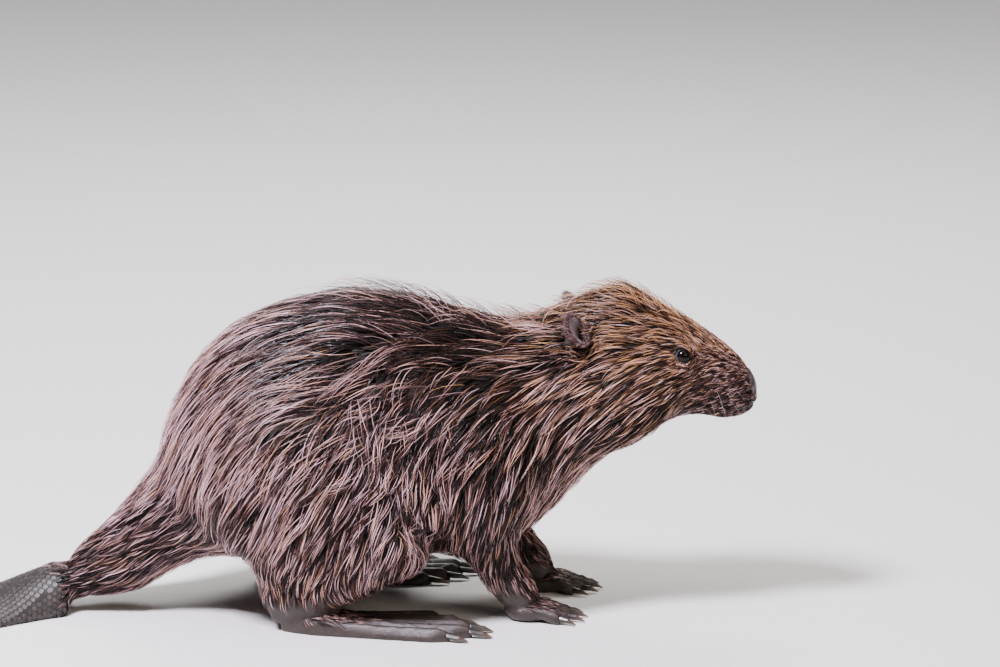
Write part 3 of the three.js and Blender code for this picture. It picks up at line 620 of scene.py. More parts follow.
@dataclass
class Comb:
    """Blends the lies of the coat over the whole animal, and parts it round the eyes and ears."""

    reach: float = 30 * MM  # how far one lie's influence spreads, and half as far where its hair is short
    short: float = 15 * MM
    batch: int = 20000  # points worked out at a time
    turn: float = 1.05  # how far hair that runs at an eye or ear is turned aside; 1 is just alongside
    short_near: float = 0.45  # how long the hair is next to an eye, against elsewhere
    eye_fade: float = 8 * MM  # how far round an eye the hair is still turned
    eye_lean: float = 0.35  # how much it leans away next to the eye
    ear_bare: float = 0.85  # where round an ear the turning starts, against the ear's root
    ear_fade: float = 6 * MM  # how far beyond that the hair is still turned
    over_ear: float = 7.0  # how far the hair ahead of an ear reaches over its rim
    ear_edge: float = 3.0  # over how far that hair gives way to the hair above, below and behind
    ahead_of_ear: Pair = (30.0, 40.0)  # how far from the ear that hair is wholly and not at all shortened
    crowding: float = 0.25  # the least share of its length that its closeness makes up for
    at: Array = field(init=False, repr=False)
    regions: Array = field(init=False, repr=False)
    # the fields of each lie as a row, beside its place and region, for both sides
    table: Array = field(init=False, repr=False)

    def __post_init__(self) -> None:
        """Mirrors the lies to both sides and tabulates them."""
        both = [(region, lie, side) for region, lies in LIES.items() for lie in lies for side in Side]
        self.at = np.array([place(*mirrored(lie.at, side)) for _, lie, side in both])
        self.regions = np.array([list(Region).index(region) for region, _, _ in both])
        ways = unit(np.array([mirrored(lie.way, side) for _, lie, side in both]))
        sizes = np.array([(lie.length, lie.depth, lie.width) for _, lie, _ in both]) * MM
        shares = np.array([(lie.close, lie.clump, lie.tone, lie.gold, lie.tousle) for _, lie, _ in both])
        self.table = np.hstack([ways, sizes, shares])

    def __call__(self, points: Array) -> Combed:
        """Blends the lies at each point.

        Args:
            points: N by 3.

        Returns:
            How the coat lies at each.
        """
        blended = np.empty((len(points), self.table.shape[1]))
        region = np.empty(len(points), int)
        for start in range(0, len(points), self.batch):
            part = slice(start, start + self.batch)
            apart = ((points[part, None, :] - self.at[None]) ** 2).sum(-1)
            spread = np.where(self.table[:, 3] < self.short, self.reach / 2, self.reach)
            weight = np.exp(-(apart - apart.min(1, keepdims=True)) / (2 * spread**2))
            blended[part] = (weight @ self.table) / weight.sum(1, keepdims=True)
            region[part] = self.regions[apart.argmin(1)]
        combed = Combed(blended[:, :3], *blended[:, 3:].T, region)
        for side in Side:
            centre = EYE.frame(side)[0]
            near = self.part_round(points, combed, centre, np.eye(3), EYE.bare * MM, self.eye_fade, self.eye_lean)
            combed.length *= near
        for side in Side:
            self.part_at_ear(points, combed, side)
        return combed

    def part_at_ear(self, points: Array, combed: Combed, side: Side) -> None:
        """Turns the hair aside round an ear, but ahead of it keeps its way and makes it short, fine and close.

        Args:
            points: N by 3.
            combed: The lie there, which is changed.
            side: Which ear.
        """
        centre, out, ahead, up = EAR.frame(side)
        wide, high = EAR.root
        axes = np.stack([ahead / wide, up / high, out / high]) * high
        straight = combed.way.copy()
        self.part_round(points, combed, centre, axes, self.ear_bare * high * MM, self.ear_fade, 0.0)
        offset = (points - centre) / MM
        before = offset @ ahead - wide + EAR.wall[1]
        level = smooth_step(high + self.ear_edge, high - self.ear_edge, np.abs(offset @ up))
        near, far = self.ahead_of_ear
        front = level * smooth_step(0, self.ear_edge, before) * smooth_step(far, near, np.linalg.norm(offset, axis=1))
        combed.way += (straight - combed.way) * front[:, None]
        shorter = np.minimum(combed.length, (np.maximum(before, 0) + self.over_ear) * MM)
        cut = np.where(front > 0.5, shorter / combed.length, 1)
        combed.length *= cut
        combed.close /= np.maximum(cut, self.crowding)
        combed.width *= np.sqrt(cut)

    def part_round(
        self, points: Array, combed: Combed, centre: Array, axes: Array, bare: float, fade: float, push: float
    ) -> Array:
        """Turns the hair aside where it would run over an eye or an ear.

        Args:
            points: N by 3.
            combed: The lie there, whose way is changed.
            centre: The middle of the eye or ear.
            axes: Its axes as rows, scaled so that its outline is round.
            bare: The outline's radius.
            fade: How far beyond the outline the hair is still turned.
            push: How much the hair leans away next to the outline.

        Returns:
            How long the hair is against elsewhere.
        """
        near = np.flatnonzero(((points - centre) ** 2).sum(1) < (bare + 3 * fade) ** 2)
        longer = np.ones(len(points))
        if not len(near):
            return longer
        offset = (points[near] - centre) @ axes.T
        away = np.linalg.norm(offset, axis=1)
        outwards = unit(unit(offset) @ axes)
        share = np.exp(-np.maximum(away - bare, 0) / fade)
        way = combed.way[near]
        inwards = np.maximum(-(way * outwards).sum(1), 0)
        combed.way[near] = way + (share * (self.turn * inwards + push))[:, None] * outwards
        longer[near] = 1 - (1 - self.short_near) * share**2
        return longer


def ear_outline(points: Array, side: Side) -> Array:
    """Says how far each point is from one ear's middle.

    Args:
        points: N by 3.
        side: Which ear.

    Returns:
        1 on the outline of the ear's root, and infinity far off the head.
    """
    centre, out, ahead, up = EAR.frame(side)
    offset = (points - centre) / MM
    flat = np.hypot(offset @ ahead / EAR.root[0], offset @ up / EAR.root[1])
    return np.where(np.abs(offset @ out) < 2 * EAR.stand[1], flat, np.inf)


def nose_outline(points: Array) -> Array:
    """Says how far each point is from the nose leather's middle.

    Args:
        points: N by 3.

    Returns:
        1 on the leather's outline.
    """
    offset = (points - place(*NOSE.centre)) / MM
    long, wide, high = NOSE.half
    wide = wide - NOSE.narrows * smooth_step(*NOSE.between, offset[:, 2])
    return np.sqrt((offset[:, 0] / long) ** 2 + (offset[:, 1] / wide) ** 2 + (offset[:, 2] / high) ** 2)


def above_lip(points: Array) -> tuple[Array, Array]:
    """Says where each point is against the gap between the jaws.

    Args:
        points: N by 3.

    Returns:
        Millimetres above the gap, and 1 where the gap is, falling to 0 behind the mouth's corner.
    """
    ahead, height = (points - HOME)[:, 0] / MM, points[:, 2] / MM
    return height - LIP.level - LIP.rise * (ahead - LIP.front), smooth_step(*LIP.corner, ahead)


def scaly(points: Array) -> Array:
    """Says where the tail is scaly.

    Args:
        points: N by 3.

    Returns:
        0 on the furred root, and 1 on the paddle, beyond a waving edge.
    """
    back, wave, bend, blend = (value * MM for value in (2, 6, 9, 12))
    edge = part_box("tail_paddle")[1].x - back + wave * np.sin(points[:, 1] / bend)
    return smooth_step(0, blend, edge - points[:, 0])


def furred(points: Array, normals: Array) -> Array:
    """Says how much coat grows: 1 on the body, 0 on the soles, webs, paddle, nose, lids and in the ears.

    Args:
        points: N by 3.
        normals: The skin's normals there.

    Returns:
        From 0 to 1 at each.
    """
    ankle, instep, upward = (26, 42), (11, 17), (0.1, 0.5)  # heights, heights, and the normal's own height
    height = points[:, 2] / MM
    toes_up = smooth_step(*upward, normals[:, 2]) * smooth_step(*instep, height)
    feet = np.maximum(smooth_step(*ankle, height), toes_up)
    bare_feet = np.where(points[:, 0] > place(TAIL_FROM, 0, 0)[0], feet, 1)
    nose_edge, ear_edge, lid_edge = (0.9, 1.04), (0.55, 0.7), (EYE.bare, EYE.bare + 1.5)
    grown = (1 - scaly(points)) * bare_feet * smooth_step(*nose_edge, nose_outline(points))
    above, mouth = above_lip(points)
    bare_lip, lip_width = 1.0, 2.4
    grown *= 1 - mouth * bell(above, bare_lip, lip_width)
    for side in Side:
        grown *= smooth_step(*lid_edge, np.linalg.norm(points - EYE.frame(side)[0], axis=1) / MM)
        grown *= smooth_step(*ear_edge, ear_outline(points, side))
    return grown


# ---- finishes
@dataclass(frozen=True)
class WetHide:
    """The hide: dark underfur felt under the coat, and bare leather on the nose, lids, ears, feet and tail.

    Living keratin with a film of water on it, so the leather is dark, pebbled and softly glossy. Each pair of colours
    runs from what lies deep to what stands up, which paints shade and light into it: painted shade between the nose's
    pebbles, in the feet's cracks, the nostrils, the mouth's gap and the ear's canal, and painted light on the pebbles'
    tops and the ear's back wall. Sizes are in millimetres.
    """

    name: str = "wet_hide_and_leather"
    felt: Colours = ("100b09", "231a15")
    # the nose's pair runs from painted shade, between the pebbles and in the nostrils, to painted light on the
    # pebbles' tops, over the leather's own mottle
    nose: Colours = ("0e0a0a", "75605f")
    # the feet's pair runs from painted shade in the cracks between the scutes to the scutes' own mottled colour
    foot: Colours = ("1e1815", "3a302b")
    tail: Colours = ("121010", "2b2624")
    # the ear's pair runs from its darkest, painted shade deep in the canal, to painted light on the pale back wall
    # inside
    ear: Colours = ("0f0b0b", "857b7e")
    lid: Colours = ("16151b", "3b3a42")
    pebble: float = 1.1  # across one pebble of the nose leather
    scute: float = 1.3  # across one scute of the feet
    mottle: float = 7.0  # across one patch of colour
    rough: Pair = (0.75, 0.38)  # roughness of the felt and of the bare leather
    relief: float = 0.25  # how far pebbles and scutes stand up

    def make(self) -> Material:
        """Builds the material.

        Returns:
            The material.
        """
        material, tree, surface = new_material(self.name)
        at = add_node(tree, "ShaderNodeTexCoord").outputs["Object"]
        zone = {
            name: add_node(tree, "ShaderNodeAttribute", attribute_name=name).outputs["Fac"]
            for name in ("nose", "foot", "tail", "ear", "hollow", "lid")
        }
        mottle = add_node(tree, "ShaderNodeTexNoise", {"Vector": at, "Scale": 1000 / self.mottle, "Detail": 6.0})
        pebbles, scutes = (
            add_node(tree, "ShaderNodeTexVoronoi", {"Vector": at, "Scale": 1000 / size}, feature=kind)
            for size, kind in ((self.pebble, "SMOOTH_F1"), (self.scute, "DISTANCE_TO_EDGE"))
        )
        raised = add_node(tree, "ShaderNodeMapRange", {0: pebbles, 1: 0.0, 2: 0.7, 3: 1.0, 4: 0.0})
        plates = add_node(tree, "ShaderNodeMapRange", {0: scutes, 1: 0.0, 2: 0.12, 3: 0.35, 4: 1.0})
        # painted shade: lit is 1 where nothing is painted dark, and falls in the ear, the nostrils and the gap between
        # the jaws
        lit = add_node(tree, "ShaderNodeMath", {0: 1.0, 1: zone["hollow"]}, operation="SUBTRACT")
        # the nose's mottle, lighter on the pebbles' tops and darker between them and in the nostrils, as painted light
        # and shade
        mottle_and_painted_shade = add_node(tree, "ShaderNodeMath", {0: mottle, 1: raised}, operation="MULTIPLY")
        mottle_and_painted_shade = add_node(tree, "ShaderNodeMath", {0: mottle_and_painted_shade, 1: lit}, operation="MULTIPLY")
        # the feet's mottle, darker in the cracks between the scutes as painted shade
        worn = add_node(tree, "ShaderNodeMath", {0: mottle, 1: plates}, operation="MULTIPLY")
        felt = ((0.35, self.felt[0]), (0.7, self.felt[1]))
        colour = add_node(tree, "ShaderNodeValToRGB", {"Fac": mottle}, felt).outputs["Color"]
        for name, factor, pair in (
            ("nose", mottle_and_painted_shade, self.nose),
            ("foot", worn, self.foot),
            ("tail", mottle, self.tail),
            ("ear", lit, self.ear),
            ("lid", mottle, self.lid),
        ):
            own = add_node(tree, "ShaderNodeValToRGB", {"Fac": factor}, ((0.05, pair[0]), (0.6, pair[1])))
            layers = {0: zone[name], 6: colour, 7: own}
            colour = add_node(tree, "ShaderNodeMix", layers, data_type="RGBA").outputs[2]
        bare = zone["nose"]
        for name in ("foot", "tail", "lid"):
            bare = add_node(tree, "ShaderNodeMath", {0: bare, 1: zone[name]}, operation="MAXIMUM")
        rough = add_node(tree, "ShaderNodeMapRange", {0: bare, 3: self.rough[0], 4: self.rough[1]})
        nose, foot = (
            add_node(tree, "ShaderNodeMath", {0: height, 1: zone[name]}, operation="MULTIPLY")
            for name, height in (("nose", raised), ("foot", plates))
        )
        height = add_node(tree, "ShaderNodeMath", {0: nose, 1: foot}, operation="ADD")
        bump = add_node(tree, "ShaderNodeBump", {"Height": height, "Strength": 0.5, "Distance": self.relief * MM})
        fill(tree, surface, {"Base Color": colour, "Roughness": rough, "Normal": bump, "Specular IOR Level": 0.4})
        return material


@dataclass(frozen=True)
class WetFur:
    """Wet guard hair: brown keratin, drawn into locks by water whose film gives long, narrow glints."""

    name: str = "wet_guard_hair"
    dark: str = "060403"
    # colours of the golden parts' middling and lightest locks, as the next pair is of the greyish parts', whose lilac
    # is a painted reflection of the sky
    gold: Colours = ("502e14", "e4aa74")
    mauve: Colours = ("4e3232", "eac2ca")
    stops: Triple = (0.12, 0.52, 1.0)  # the tones at which a lock has its darkest, middling and lightest colour
    # painted shade: each lock is darker towards its root, where the locks cover one another
    roots: float = 0.4  # how bright a lock is at its root, against its tip
    roughness: float = 0.36
    film: float = 0.65  # how much of it the water covers
    film_roughness: float = 0.14
    under_film: float = 0.15  # how much the hair itself mirrors, which is little from within water

    def make(self) -> Material:
        """Builds the material.

        Returns:
            The material.
        """
        material, tree, surface = new_material(self.name)
        tone, gold, along = (
            add_node(tree, "ShaderNodeAttribute", attribute_name=name).outputs["Fac"]
            for name in ("tone", "gold", "along")
        )
        warm, cool = (
            add_node(tree, "ShaderNodeValToRGB", {"Fac": tone}, tuple(zip(self.stops, (self.dark, *pair))))
            for pair in (self.gold, self.mauve)
        )
        # painted shade towards each lock's root
        shade = add_node(tree, "ShaderNodeMapRange", {0: along, 1: 0.0, 2: 0.6, 3: self.roots, 4: 1.0})
        own = add_node(tree, "ShaderNodeMix", {0: gold, 6: cool, 7: warm}, data_type="RGBA").outputs[2]
        shaded = {0: 1.0, 6: own, 7: shade}
        colour = add_node(tree, "ShaderNodeMix", shaded, data_type="RGBA", blend_type="MULTIPLY").outputs[2]
        water = {"Coat Weight": self.film, "Coat Roughness": self.film_roughness, "Coat IOR": 1.33}
        hair = {"Base Color": colour, "Roughness": self.roughness, "Specular IOR Level": self.under_film}
        fill(tree, surface, hair | water)
        return material


@dataclass(frozen=True)
class Eyeball:
    """A wet cornea over a nearly black brown iris: what the eye gives is one clear glint."""

    name: str = "wet_cornea_over_dark_iris"
    pupil: str = "020202"
    iris: Colours = ("090504", "180e08")  # its colours between its fibres and on them
    rim: str = "050404"  # the dark ring round it
    white: str = "3b2c26"  # what shows of the eyeball's white, stained brown
    # in radians off the axis, where the pupil ends, the rim begins and the white begins
    edges: Triple = (0.31, 0.62, 0.80)
    blurs: Triple = (0.05, 0.12, 0.06)  # how wide each of these edges is
    fibres: float = 9.0  # how many of the iris's fibres lie in a radian

    def make(self) -> Material:
        """Builds the material.

        Returns:
            The material.
        """
        material, tree, surface = new_material(self.name)
        off_axis, round_axis = (
            add_node(tree, "ShaderNodeAttribute", attribute_name=name).outputs["Fac"]
            for name in ("off_axis", "round_axis")
        )
        wheel = {"W": round_axis, "Scale": self.fibres}
        fibres = add_node(tree, "ShaderNodeTexNoise", wheel, noise_dimensions="1D")
        iris = add_node(tree, "ShaderNodeValToRGB", {"Fac": fibres}, ((0.35, self.iris[0]), (0.65, self.iris[1])))
        colour = linear(self.pupil)
        for edge, blur, beyond in zip(self.edges, self.blurs, (iris, linear(self.rim), linear(self.white))):
            step = add_node(tree, "ShaderNodeMapRange", {0: off_axis, 1: edge, 2: edge + blur})
            colour = add_node(tree, "ShaderNodeMix", {0: step, 6: colour, 7: beyond}, data_type="RGBA").outputs[2]
        fill(tree, surface, {"Base Color": colour, "Roughness": 0.03, "IOR": 1.336, "Specular IOR Level": 0.35})
        return material


@dataclass(frozen=True)
class Horn:
    """Claw horn: dark brown keratin in long fibres, worn paler and translucent towards the tip."""

    name: str = "claw_horn"
    base: str = "120d0b"
    tip: str = "57463a"
    fibre: float = 0.5  # millimetres across one fibre
    streak: Pair = (0.35, -0.17)  # how far the paleness of the fibres differs, and what centres it

    def make(self) -> Material:
        """Builds the material.

        Returns:
            The material.
        """
        material, tree, surface = new_material(self.name)
        along = add_node(tree, "ShaderNodeAttribute", attribute_name="along").outputs["Fac"]
        at = add_node(tree, "ShaderNodeTexCoord").outputs["Object"]
        drawn = add_node(tree, "ShaderNodeMapping", {"Vector": at, "Scale": (0.12, 1.0, 1.0)})
        fibres = add_node(tree, "ShaderNodeTexNoise", {"Vector": drawn, "Scale": 1000 / self.fibre})
        streaks = {0: fibres, 1: self.streak[0], 2: self.streak[1]}
        shifted = add_node(tree, "ShaderNodeMath", streaks, operation="MULTIPLY_ADD")
        worn = add_node(tree, "ShaderNodeMath", {0: along, 1: shifted}, operation="ADD")
        colour = add_node(tree, "ShaderNodeValToRGB", {"Fac": worn}, ((0.15, self.base), (0.95, self.tip)))
        bump = add_node(tree, "ShaderNodeBump", {"Height": fibres, "Strength": 0.25, "Distance": 0.1 * MM})
        fill(tree, surface, {"Base Color": colour, "Normal": bump, "Roughness": 0.3, "IOR": 1.55})
        return material


@dataclass(frozen=True)
class Keratin:
    """Thin hard keratin, such as a whisker or a tail scale: mottled from low to high, with a wet sheen."""

    name: str
    low: str
    high: str
    patch: float  # millimetres from one patch of colour to the next
    roughness: float

    def make(self) -> Material:
        """Builds the material.

        Returns:
            The material.
        """
        material, tree, surface = new_material(self.name)
        at = add_node(tree, "ShaderNodeTexCoord").outputs["Object"]
        noise = add_node(tree, "ShaderNodeTexNoise", {"Vector": at, "Scale": 1000 / self.patch, "Detail": 4.0})
        colour = add_node(tree, "ShaderNodeValToRGB", {"Fac": noise}, ((0.3, self.low), (0.7, self.high)))
        bump = add_node(tree, "ShaderNodeBump", {"Height": noise, "Strength": 0.3, "Distance": 0.2 * MM})
        fill(tree, surface, {"Base Color": colour, "Normal": bump, "Roughness": self.roughness, "IOR": 1.55})
        return material


# ---- the skin
@dataclass(frozen=True)
class Dent:
    """A rounded hollow in the skin, with a swollen rim."""

    at: Triple
    radii: Triple  # how far it reaches each way
    depth: float
    rim: float = 0.0  # how far its rim stands up


@dataclass
class Skin:
    """One closed skin over all the flesh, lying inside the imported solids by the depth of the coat."""

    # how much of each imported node's facets is smoothed away, and the nodes that share it
    smoothing: tuple[tuple[float, str], ...] = (
        (0.02, "fore_paw"),
        (0.03, "hind_foot"),
        (0.1, "head lower_jaw nose_pad"),
        (0.12, "tail_paddle"),
        (0.3, "forearm"),
        (0.4, "ear"),
        (0.5, "tail_root shank"),
        (0.6, "neck"),
        (0.8, "upper_arm"),
        (1.0, "chest belly rump thigh"),
    )
    filled: tuple[str, ...] = ("eye_left", "eye_right")  # nodes that it closes over without standing for them
    voxel: float = 1.6 * MM  # the spacing of its first mesh
    swell: float = 0.5 * MM  # how far each solid grows first, so that the thin cuts between them close
    rounds: int = 300
    faces: int = 190000  # how many triangles are kept
    # hollows of the face, the nostril's first
    dents: tuple[Dent, ...] = (
        Dent((250.0, 22.0, 193.0), (4.8, 6.0, 3.3), 6.0, 0.9),
        Dent((245.5, 26.0, 196.3), (3.4, 4.0, 1.9), 2.6),
        Dent((259.0, 0.0, 192.0), (6.0, 1.3, 9.0), 0.9),
        Dent((246.0, 17.0, 204.0), (7.0, 6.0, 1.4), 0.6),
        Dent((240.0, 21.0, 199.0), (2.0, 6.0, 8.0), 0.7),
        Dent((206.0, 37.0, 220.0), (6.0, 5.0, 1.4), 0.8),
        Dent((190.0, 37.0, 243.0), (12.0, 6.0, 1.5), 0.7),
    )
    canal: Pair = (9.0, 0.55)  # how deep the skin dips inside the ear, and how wide, against the ear's root
    # how deep the crease round the nose leather is, where on its outline, and how wide
    nose_edge: Triple = (0.5, 1.02, 0.05)
    muzzle: float = 216.0  # from how far ahead of HOME the mesh is finer
    fine: Pair = (17.0, 12.0)  # how far round an eye and a nostril it is finest
    soften: int = 3
    lid_edge: float = 0.035  # how near the slit a vertex is drawn onto it, in slits
    lid_round: float = 1.16  # where the lids have their full thickness, in slits
    lid_soft: float = 0.8  # how softly the lids run into the socket
    lid_blend: Pair = (10.5, 15.0)  # how far from the axis the lids are wholly and not at all shaped
    ball_gap: float = 1.6  # how far behind the eyeball's front the skin in the slit lies

    def nodes(self) -> dict[str, float]:
        """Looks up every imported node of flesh.

        Returns:
            For each one's name, how much it is smoothed.
        """
        shares = {stem: share for share, stems in self.smoothing for stem in stems.split()}
        stem_of = {node: node.removesuffix("_left").removesuffix("_right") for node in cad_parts}
        return {node: shares[stem] for node, stem in stem_of.items() if stem in shares}

    def closed(self, material: Material) -> Object:
        """Joins the swollen solids into one closed, smooth mesh.

        Args:
            material: What it is made of.

        Returns:
            Its object.
        """
        points, faces, shares, total = [], [], [], 0
        flesh = self.nodes()
        for name, share in (flesh | dict.fromkeys(self.filled, flesh["ear_left"])).items():
            if name.startswith("ear"):
                continue
            own, triangles = welded(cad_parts[name].data)
            a, b, c = (own[triangles[:, k]] for k in range(3))
            across = np.cross(b - a, c - a)
            normals = np.zeros_like(own)
            for k in range(3):
                np.add.at(normals, triangles[:, k], across)
            points.append(own + unit(normals) * self.swell)
            faces.append(triangles + total)
            shares.append(np.full(len(triangles), share))
            total += len(own)
        joined, triangles, share = np.vstack(points), np.vstack(faces), np.concatenate(shares)
        skin = mesh_piece("skin", joined, triangles, material)
        remeshed(skin, self.voxel, 0, 0)
        tree = BVHTree.FromPolygons(joined.tolist(), triangles.tolist())
        made = vertices_of(skin.data)
        share = share[np.fromiter((tree.find_nearest(p)[2] for p in made.tolist()), int, len(made))]
        group = skin.vertex_groups.new(name="smoothed")
        for value in np.unique(share):
            group.add(np.flatnonzero(share == value).tolist(), float(value), "REPLACE")
        remeshed(skin, 0, 0.5, self.rounds, group.name)
        return skin

    def sink(self, skin: Object, comb: Comb) -> None:
        """Draws the skin in by the depth of the coat, and rests it on the floor.

        Args:
            skin: The skin.
            comb: The lie of the coat.
        """
        points, normals = vertices_of(skin.data), normals_of(skin.data)
        points -= normals * (comb(points).depth * furred(points, normals))[:, None]
        points[:, 2] = np.maximum(points[:, 2], 0)
        move_vertices(skin.data, points)

    def refine(self, skin: Object) -> None:
        """Cuts the mesh finer on the muzzle, and finest round the eyes and nostrils.

        Args:
            skin: The skin.
        """
        mesh = bmesh.new()
        mesh.from_mesh(skin.data)
        spots = [(EYE.frame(side)[0], self.fine[0] * MM) for side in Side]
        spots += [(place(*mirrored(self.dents[0].at, side)), self.fine[1] * MM) for side in Side]
        for cuts, ahead, margin in ((1, place(self.muzzle, 0, 0)[0], 2 * self.voxel), (2, np.inf, 0.0)):
            mesh.verts.index_update()
            points = np.array([v.co for v in mesh.verts])
            near = points[:, 0] > ahead
            for centre, reach in spots:
                near |= np.linalg.norm(points - centre, axis=1) < reach + margin
            edges = [e for e in mesh.edges if near[e.verts[0].index] and near[e.verts[1].index]]
            bmesh.ops.subdivide_edges(mesh, edges=edges, cuts=cuts, use_grid_fill=True)
            corners = [v for v in mesh.verts if v.index < 0 or v.index >= len(near) or near[v.index]]
            every_way = {"use_axis_x": True, "use_axis_y": True, "use_axis_z": True}
            for _ in range(self.soften):
                bmesh.ops.smooth_vert(mesh, verts=corners, factor=0.5, **every_way)
        mesh.to_mesh(skin.data)
        mesh.free()
        skin.data.polygons.foreach_set("use_smooth", np.ones(len(skin.data.polygons), bool))

    def carve(self, skin: Object) -> None:
        """Models the nostrils, mouth, creases and lids.

        Args:
            skin: The skin.
        """
        points, normals = vertices_of(skin.data), normals_of(skin.data)
        lift = np.zeros(len(points))
        for dent in self.dents:
            for side in Side:
                if side is Side.RIGHT and dent.at[1] == 0:
                    continue
                away = (points - place(*mirrored(dent.at, side))) / (np.array(dent.radii) * MM)
                away = np.linalg.norm(away, axis=1)
                lift += dent.rim * bell(away, 1.6, 0.4) - dent.depth * np.exp(-(away**2))
        above, mouth = above_lip(points)
        lift += mouth * sum(stands * bell(above, at, width) for stands, at, width in LIP.folds)
        depth, at, width = self.nose_edge
        lift -= depth * bell(nose_outline(points), at, width)
        points += normals * (lift * MM)[:, None]
        for side in Side:
            depth, width = self.canal
            points -= EAR.frame(side)[1] * (bell(ear_outline(points, side), 0, width) * depth * MM)[:, None]
            points = self.lids(points, side)
        move_vertices(skin.data, points)

    def lids(self, points: Array, side: Side) -> Array:
        """Drapes the lids over one eyeball and opens them.

        Args:
            points: The skin's vertices.
            side: Which eye.

        Returns:
            The vertices with that eye's moved.
        """
        centre, axis, along, up = EYE.frame(side)
        near = np.flatnonzero(np.linalg.norm(points - centre, axis=1) < EYE.socket * MM)
        offset = (points[near] - centre) / MM
        height, u, v = offset @ axis, offset @ along, offset @ up
        slit = np.hypot(u / EYE.opening[0], v / EYE.opening[1])
        edge = np.abs(slit - 1) < self.lid_edge
        u, v = np.where(edge, u / slit, u), np.where(edge, v / slit, v)
        slit = np.where(edge, 1.0, slit)
        out = np.hypot(u, v)
        thin = 0.45  # the lid's thickness at its edge, against elsewhere
        thick = EYE.lid * (thin + (1 - thin) * smooth_step(1.0, self.lid_round, slit))
        dome = np.sqrt(np.maximum((EYE.ball + thick) ** 2 - out**2, 0))
        creases = sum(depth * bell(out, at, width) for depth, at, width in EYE.creases)
        depth, at, width = EYE.fold
        creases = creases + depth * bell(slit, at, width)
        soft, (whole, none) = self.lid_soft, self.lid_blend
        draped = soft * np.logaddexp(dome / soft, height / soft) - creases
        lidded = height + (draped - height) * smooth_step(none, whole, out)
        inside = np.sqrt(np.maximum(EYE.ball**2 - out**2, 0)) - self.ball_gap
        height = np.where(slit < 1, inside, np.where(edge, dome, lidded))
        points[near] = centre + (axis * height[:, None] + along * u[:, None] + up * v[:, None]) * MM
        return points

    def thin(self, skin: Object) -> None:
        """Leaves out faces of the trunk, which the coat covers.

        Args:
            skin: The skin.
        """
        muzzle, eyes, feet, kept_low = (195, 225), (20, 16), (45, 30), 0.6
        points = vertices_of(skin.data)
        face = smooth_step(*muzzle, (points - HOME)[:, 0] / MM)
        for side in Side:
            face = np.maximum(face, smooth_step(*eyes, np.linalg.norm(points - EYE.frame(side)[0], axis=1) / MM))
        low = kept_low * smooth_step(*feet, points[:, 2] / MM)
        group = skin.vertex_groups.new(name="thinned")
        weight = np.round(1 - np.maximum(face, low), 1)
        for value in np.unique(weight):
            group.add(np.flatnonzero(weight == value).tolist(), float(value), "REPLACE")
        thinner = skin.modifiers.new("thin", "DECIMATE")
        thinner.ratio = self.faces / len(triangles_of(skin.data))
        thinner.vertex_group = group.name
        thinner.use_collapse_triangulate = True
        apply_modifiers(skin)

    def zones(self, skin: Object, ear: Array, hollow: Array) -> None:
        """Marks where each kind of hide lies, and where shade is painted in the ear's canal, the nostrils and the gap
        between the jaws.

        Args:
            skin: The skin, whose last vertices are the ears'.
            ear: For each ear vertex, how bare it is.
            hollow: For each, how dark it is painted: darker over its outside and towards the front of its rim, painted
                shade deep in the canal, and pale as painted light on the back wall inside.
        """
        ankle = 45 * MM
        slit_width, ear_pit, nostril_side = (1.06, 0.13), (0.8, 0.6), (12, 9)
        # painted shade in the nostrils and in the gap between the jaws: how dark, and over how wide
        nostril_shade, nostril_width = 1.3, 0.75
        mouth_gap_shade, gap, lip_front, lip = 0.9, (-0.2, 1.0), (222, 234), (2.0, 1.7)
        points, normals = vertices_of(skin.data), normals_of(skin.data)
        trunk = len(points) - len(ear)
        grown = furred(points, normals)
        paws = (points[:, 0] > place(TAIL_FROM, 0, 0)[0]) & (points[:, 2] < ankle)
        # painted shade in the ear's canal, the nostrils and the gap between the jaws: it is laid on with the ear's
        # dark colour and also sets hollow
        lids, painted_pit_shade = np.zeros(len(points)), np.zeros(len(points))
        for side in Side:
            centre, axis, along, up = EYE.frame(side)
            offset = (points - centre) / MM
            slit = np.hypot(offset @ along / EYE.opening[0], offset @ up / EYE.opening[1])
            lids += bell(slit, *slit_width) * (offset @ axis > 0) * (slit < 2)
            painted_pit_shade += smooth_step(*ear_pit, ear_outline(points, side))
            at, radii = mirrored(self.dents[0].at, side), self.dents[0].radii
            offset = (points - place(*at)) / MM
            beside = smooth_step(*nostril_side, np.abs(offset[:, 1]))
            away = np.hypot(offset[:, 0] / radii[0], offset[:, 2] / radii[2])
            painted_pit_shade += nostril_shade * beside * bell(away, 0, nostril_width)
        above, mouth = above_lip(points)
        painted_pit_shade += mouth_gap_shade * mouth * bell(above, *gap)
        lips = mouth * smooth_step(*lip_front, (points - HOME)[:, 0] / MM) * bell(above, *lip)
        values = {
            "nose": np.maximum(smooth_step(1.12, 0.98, nose_outline(points)), lips),
            "foot": (1 - grown) * paws,
            "tail": scaly(points),
            "ear": np.append(painted_pit_shade[:trunk], ear),
            "hollow": np.append(painted_pit_shade[:trunk], hollow),
            "lid": lids,
        }
        for name, value in values.items():
            set_values(skin, name, np.clip(value, 0, 1))


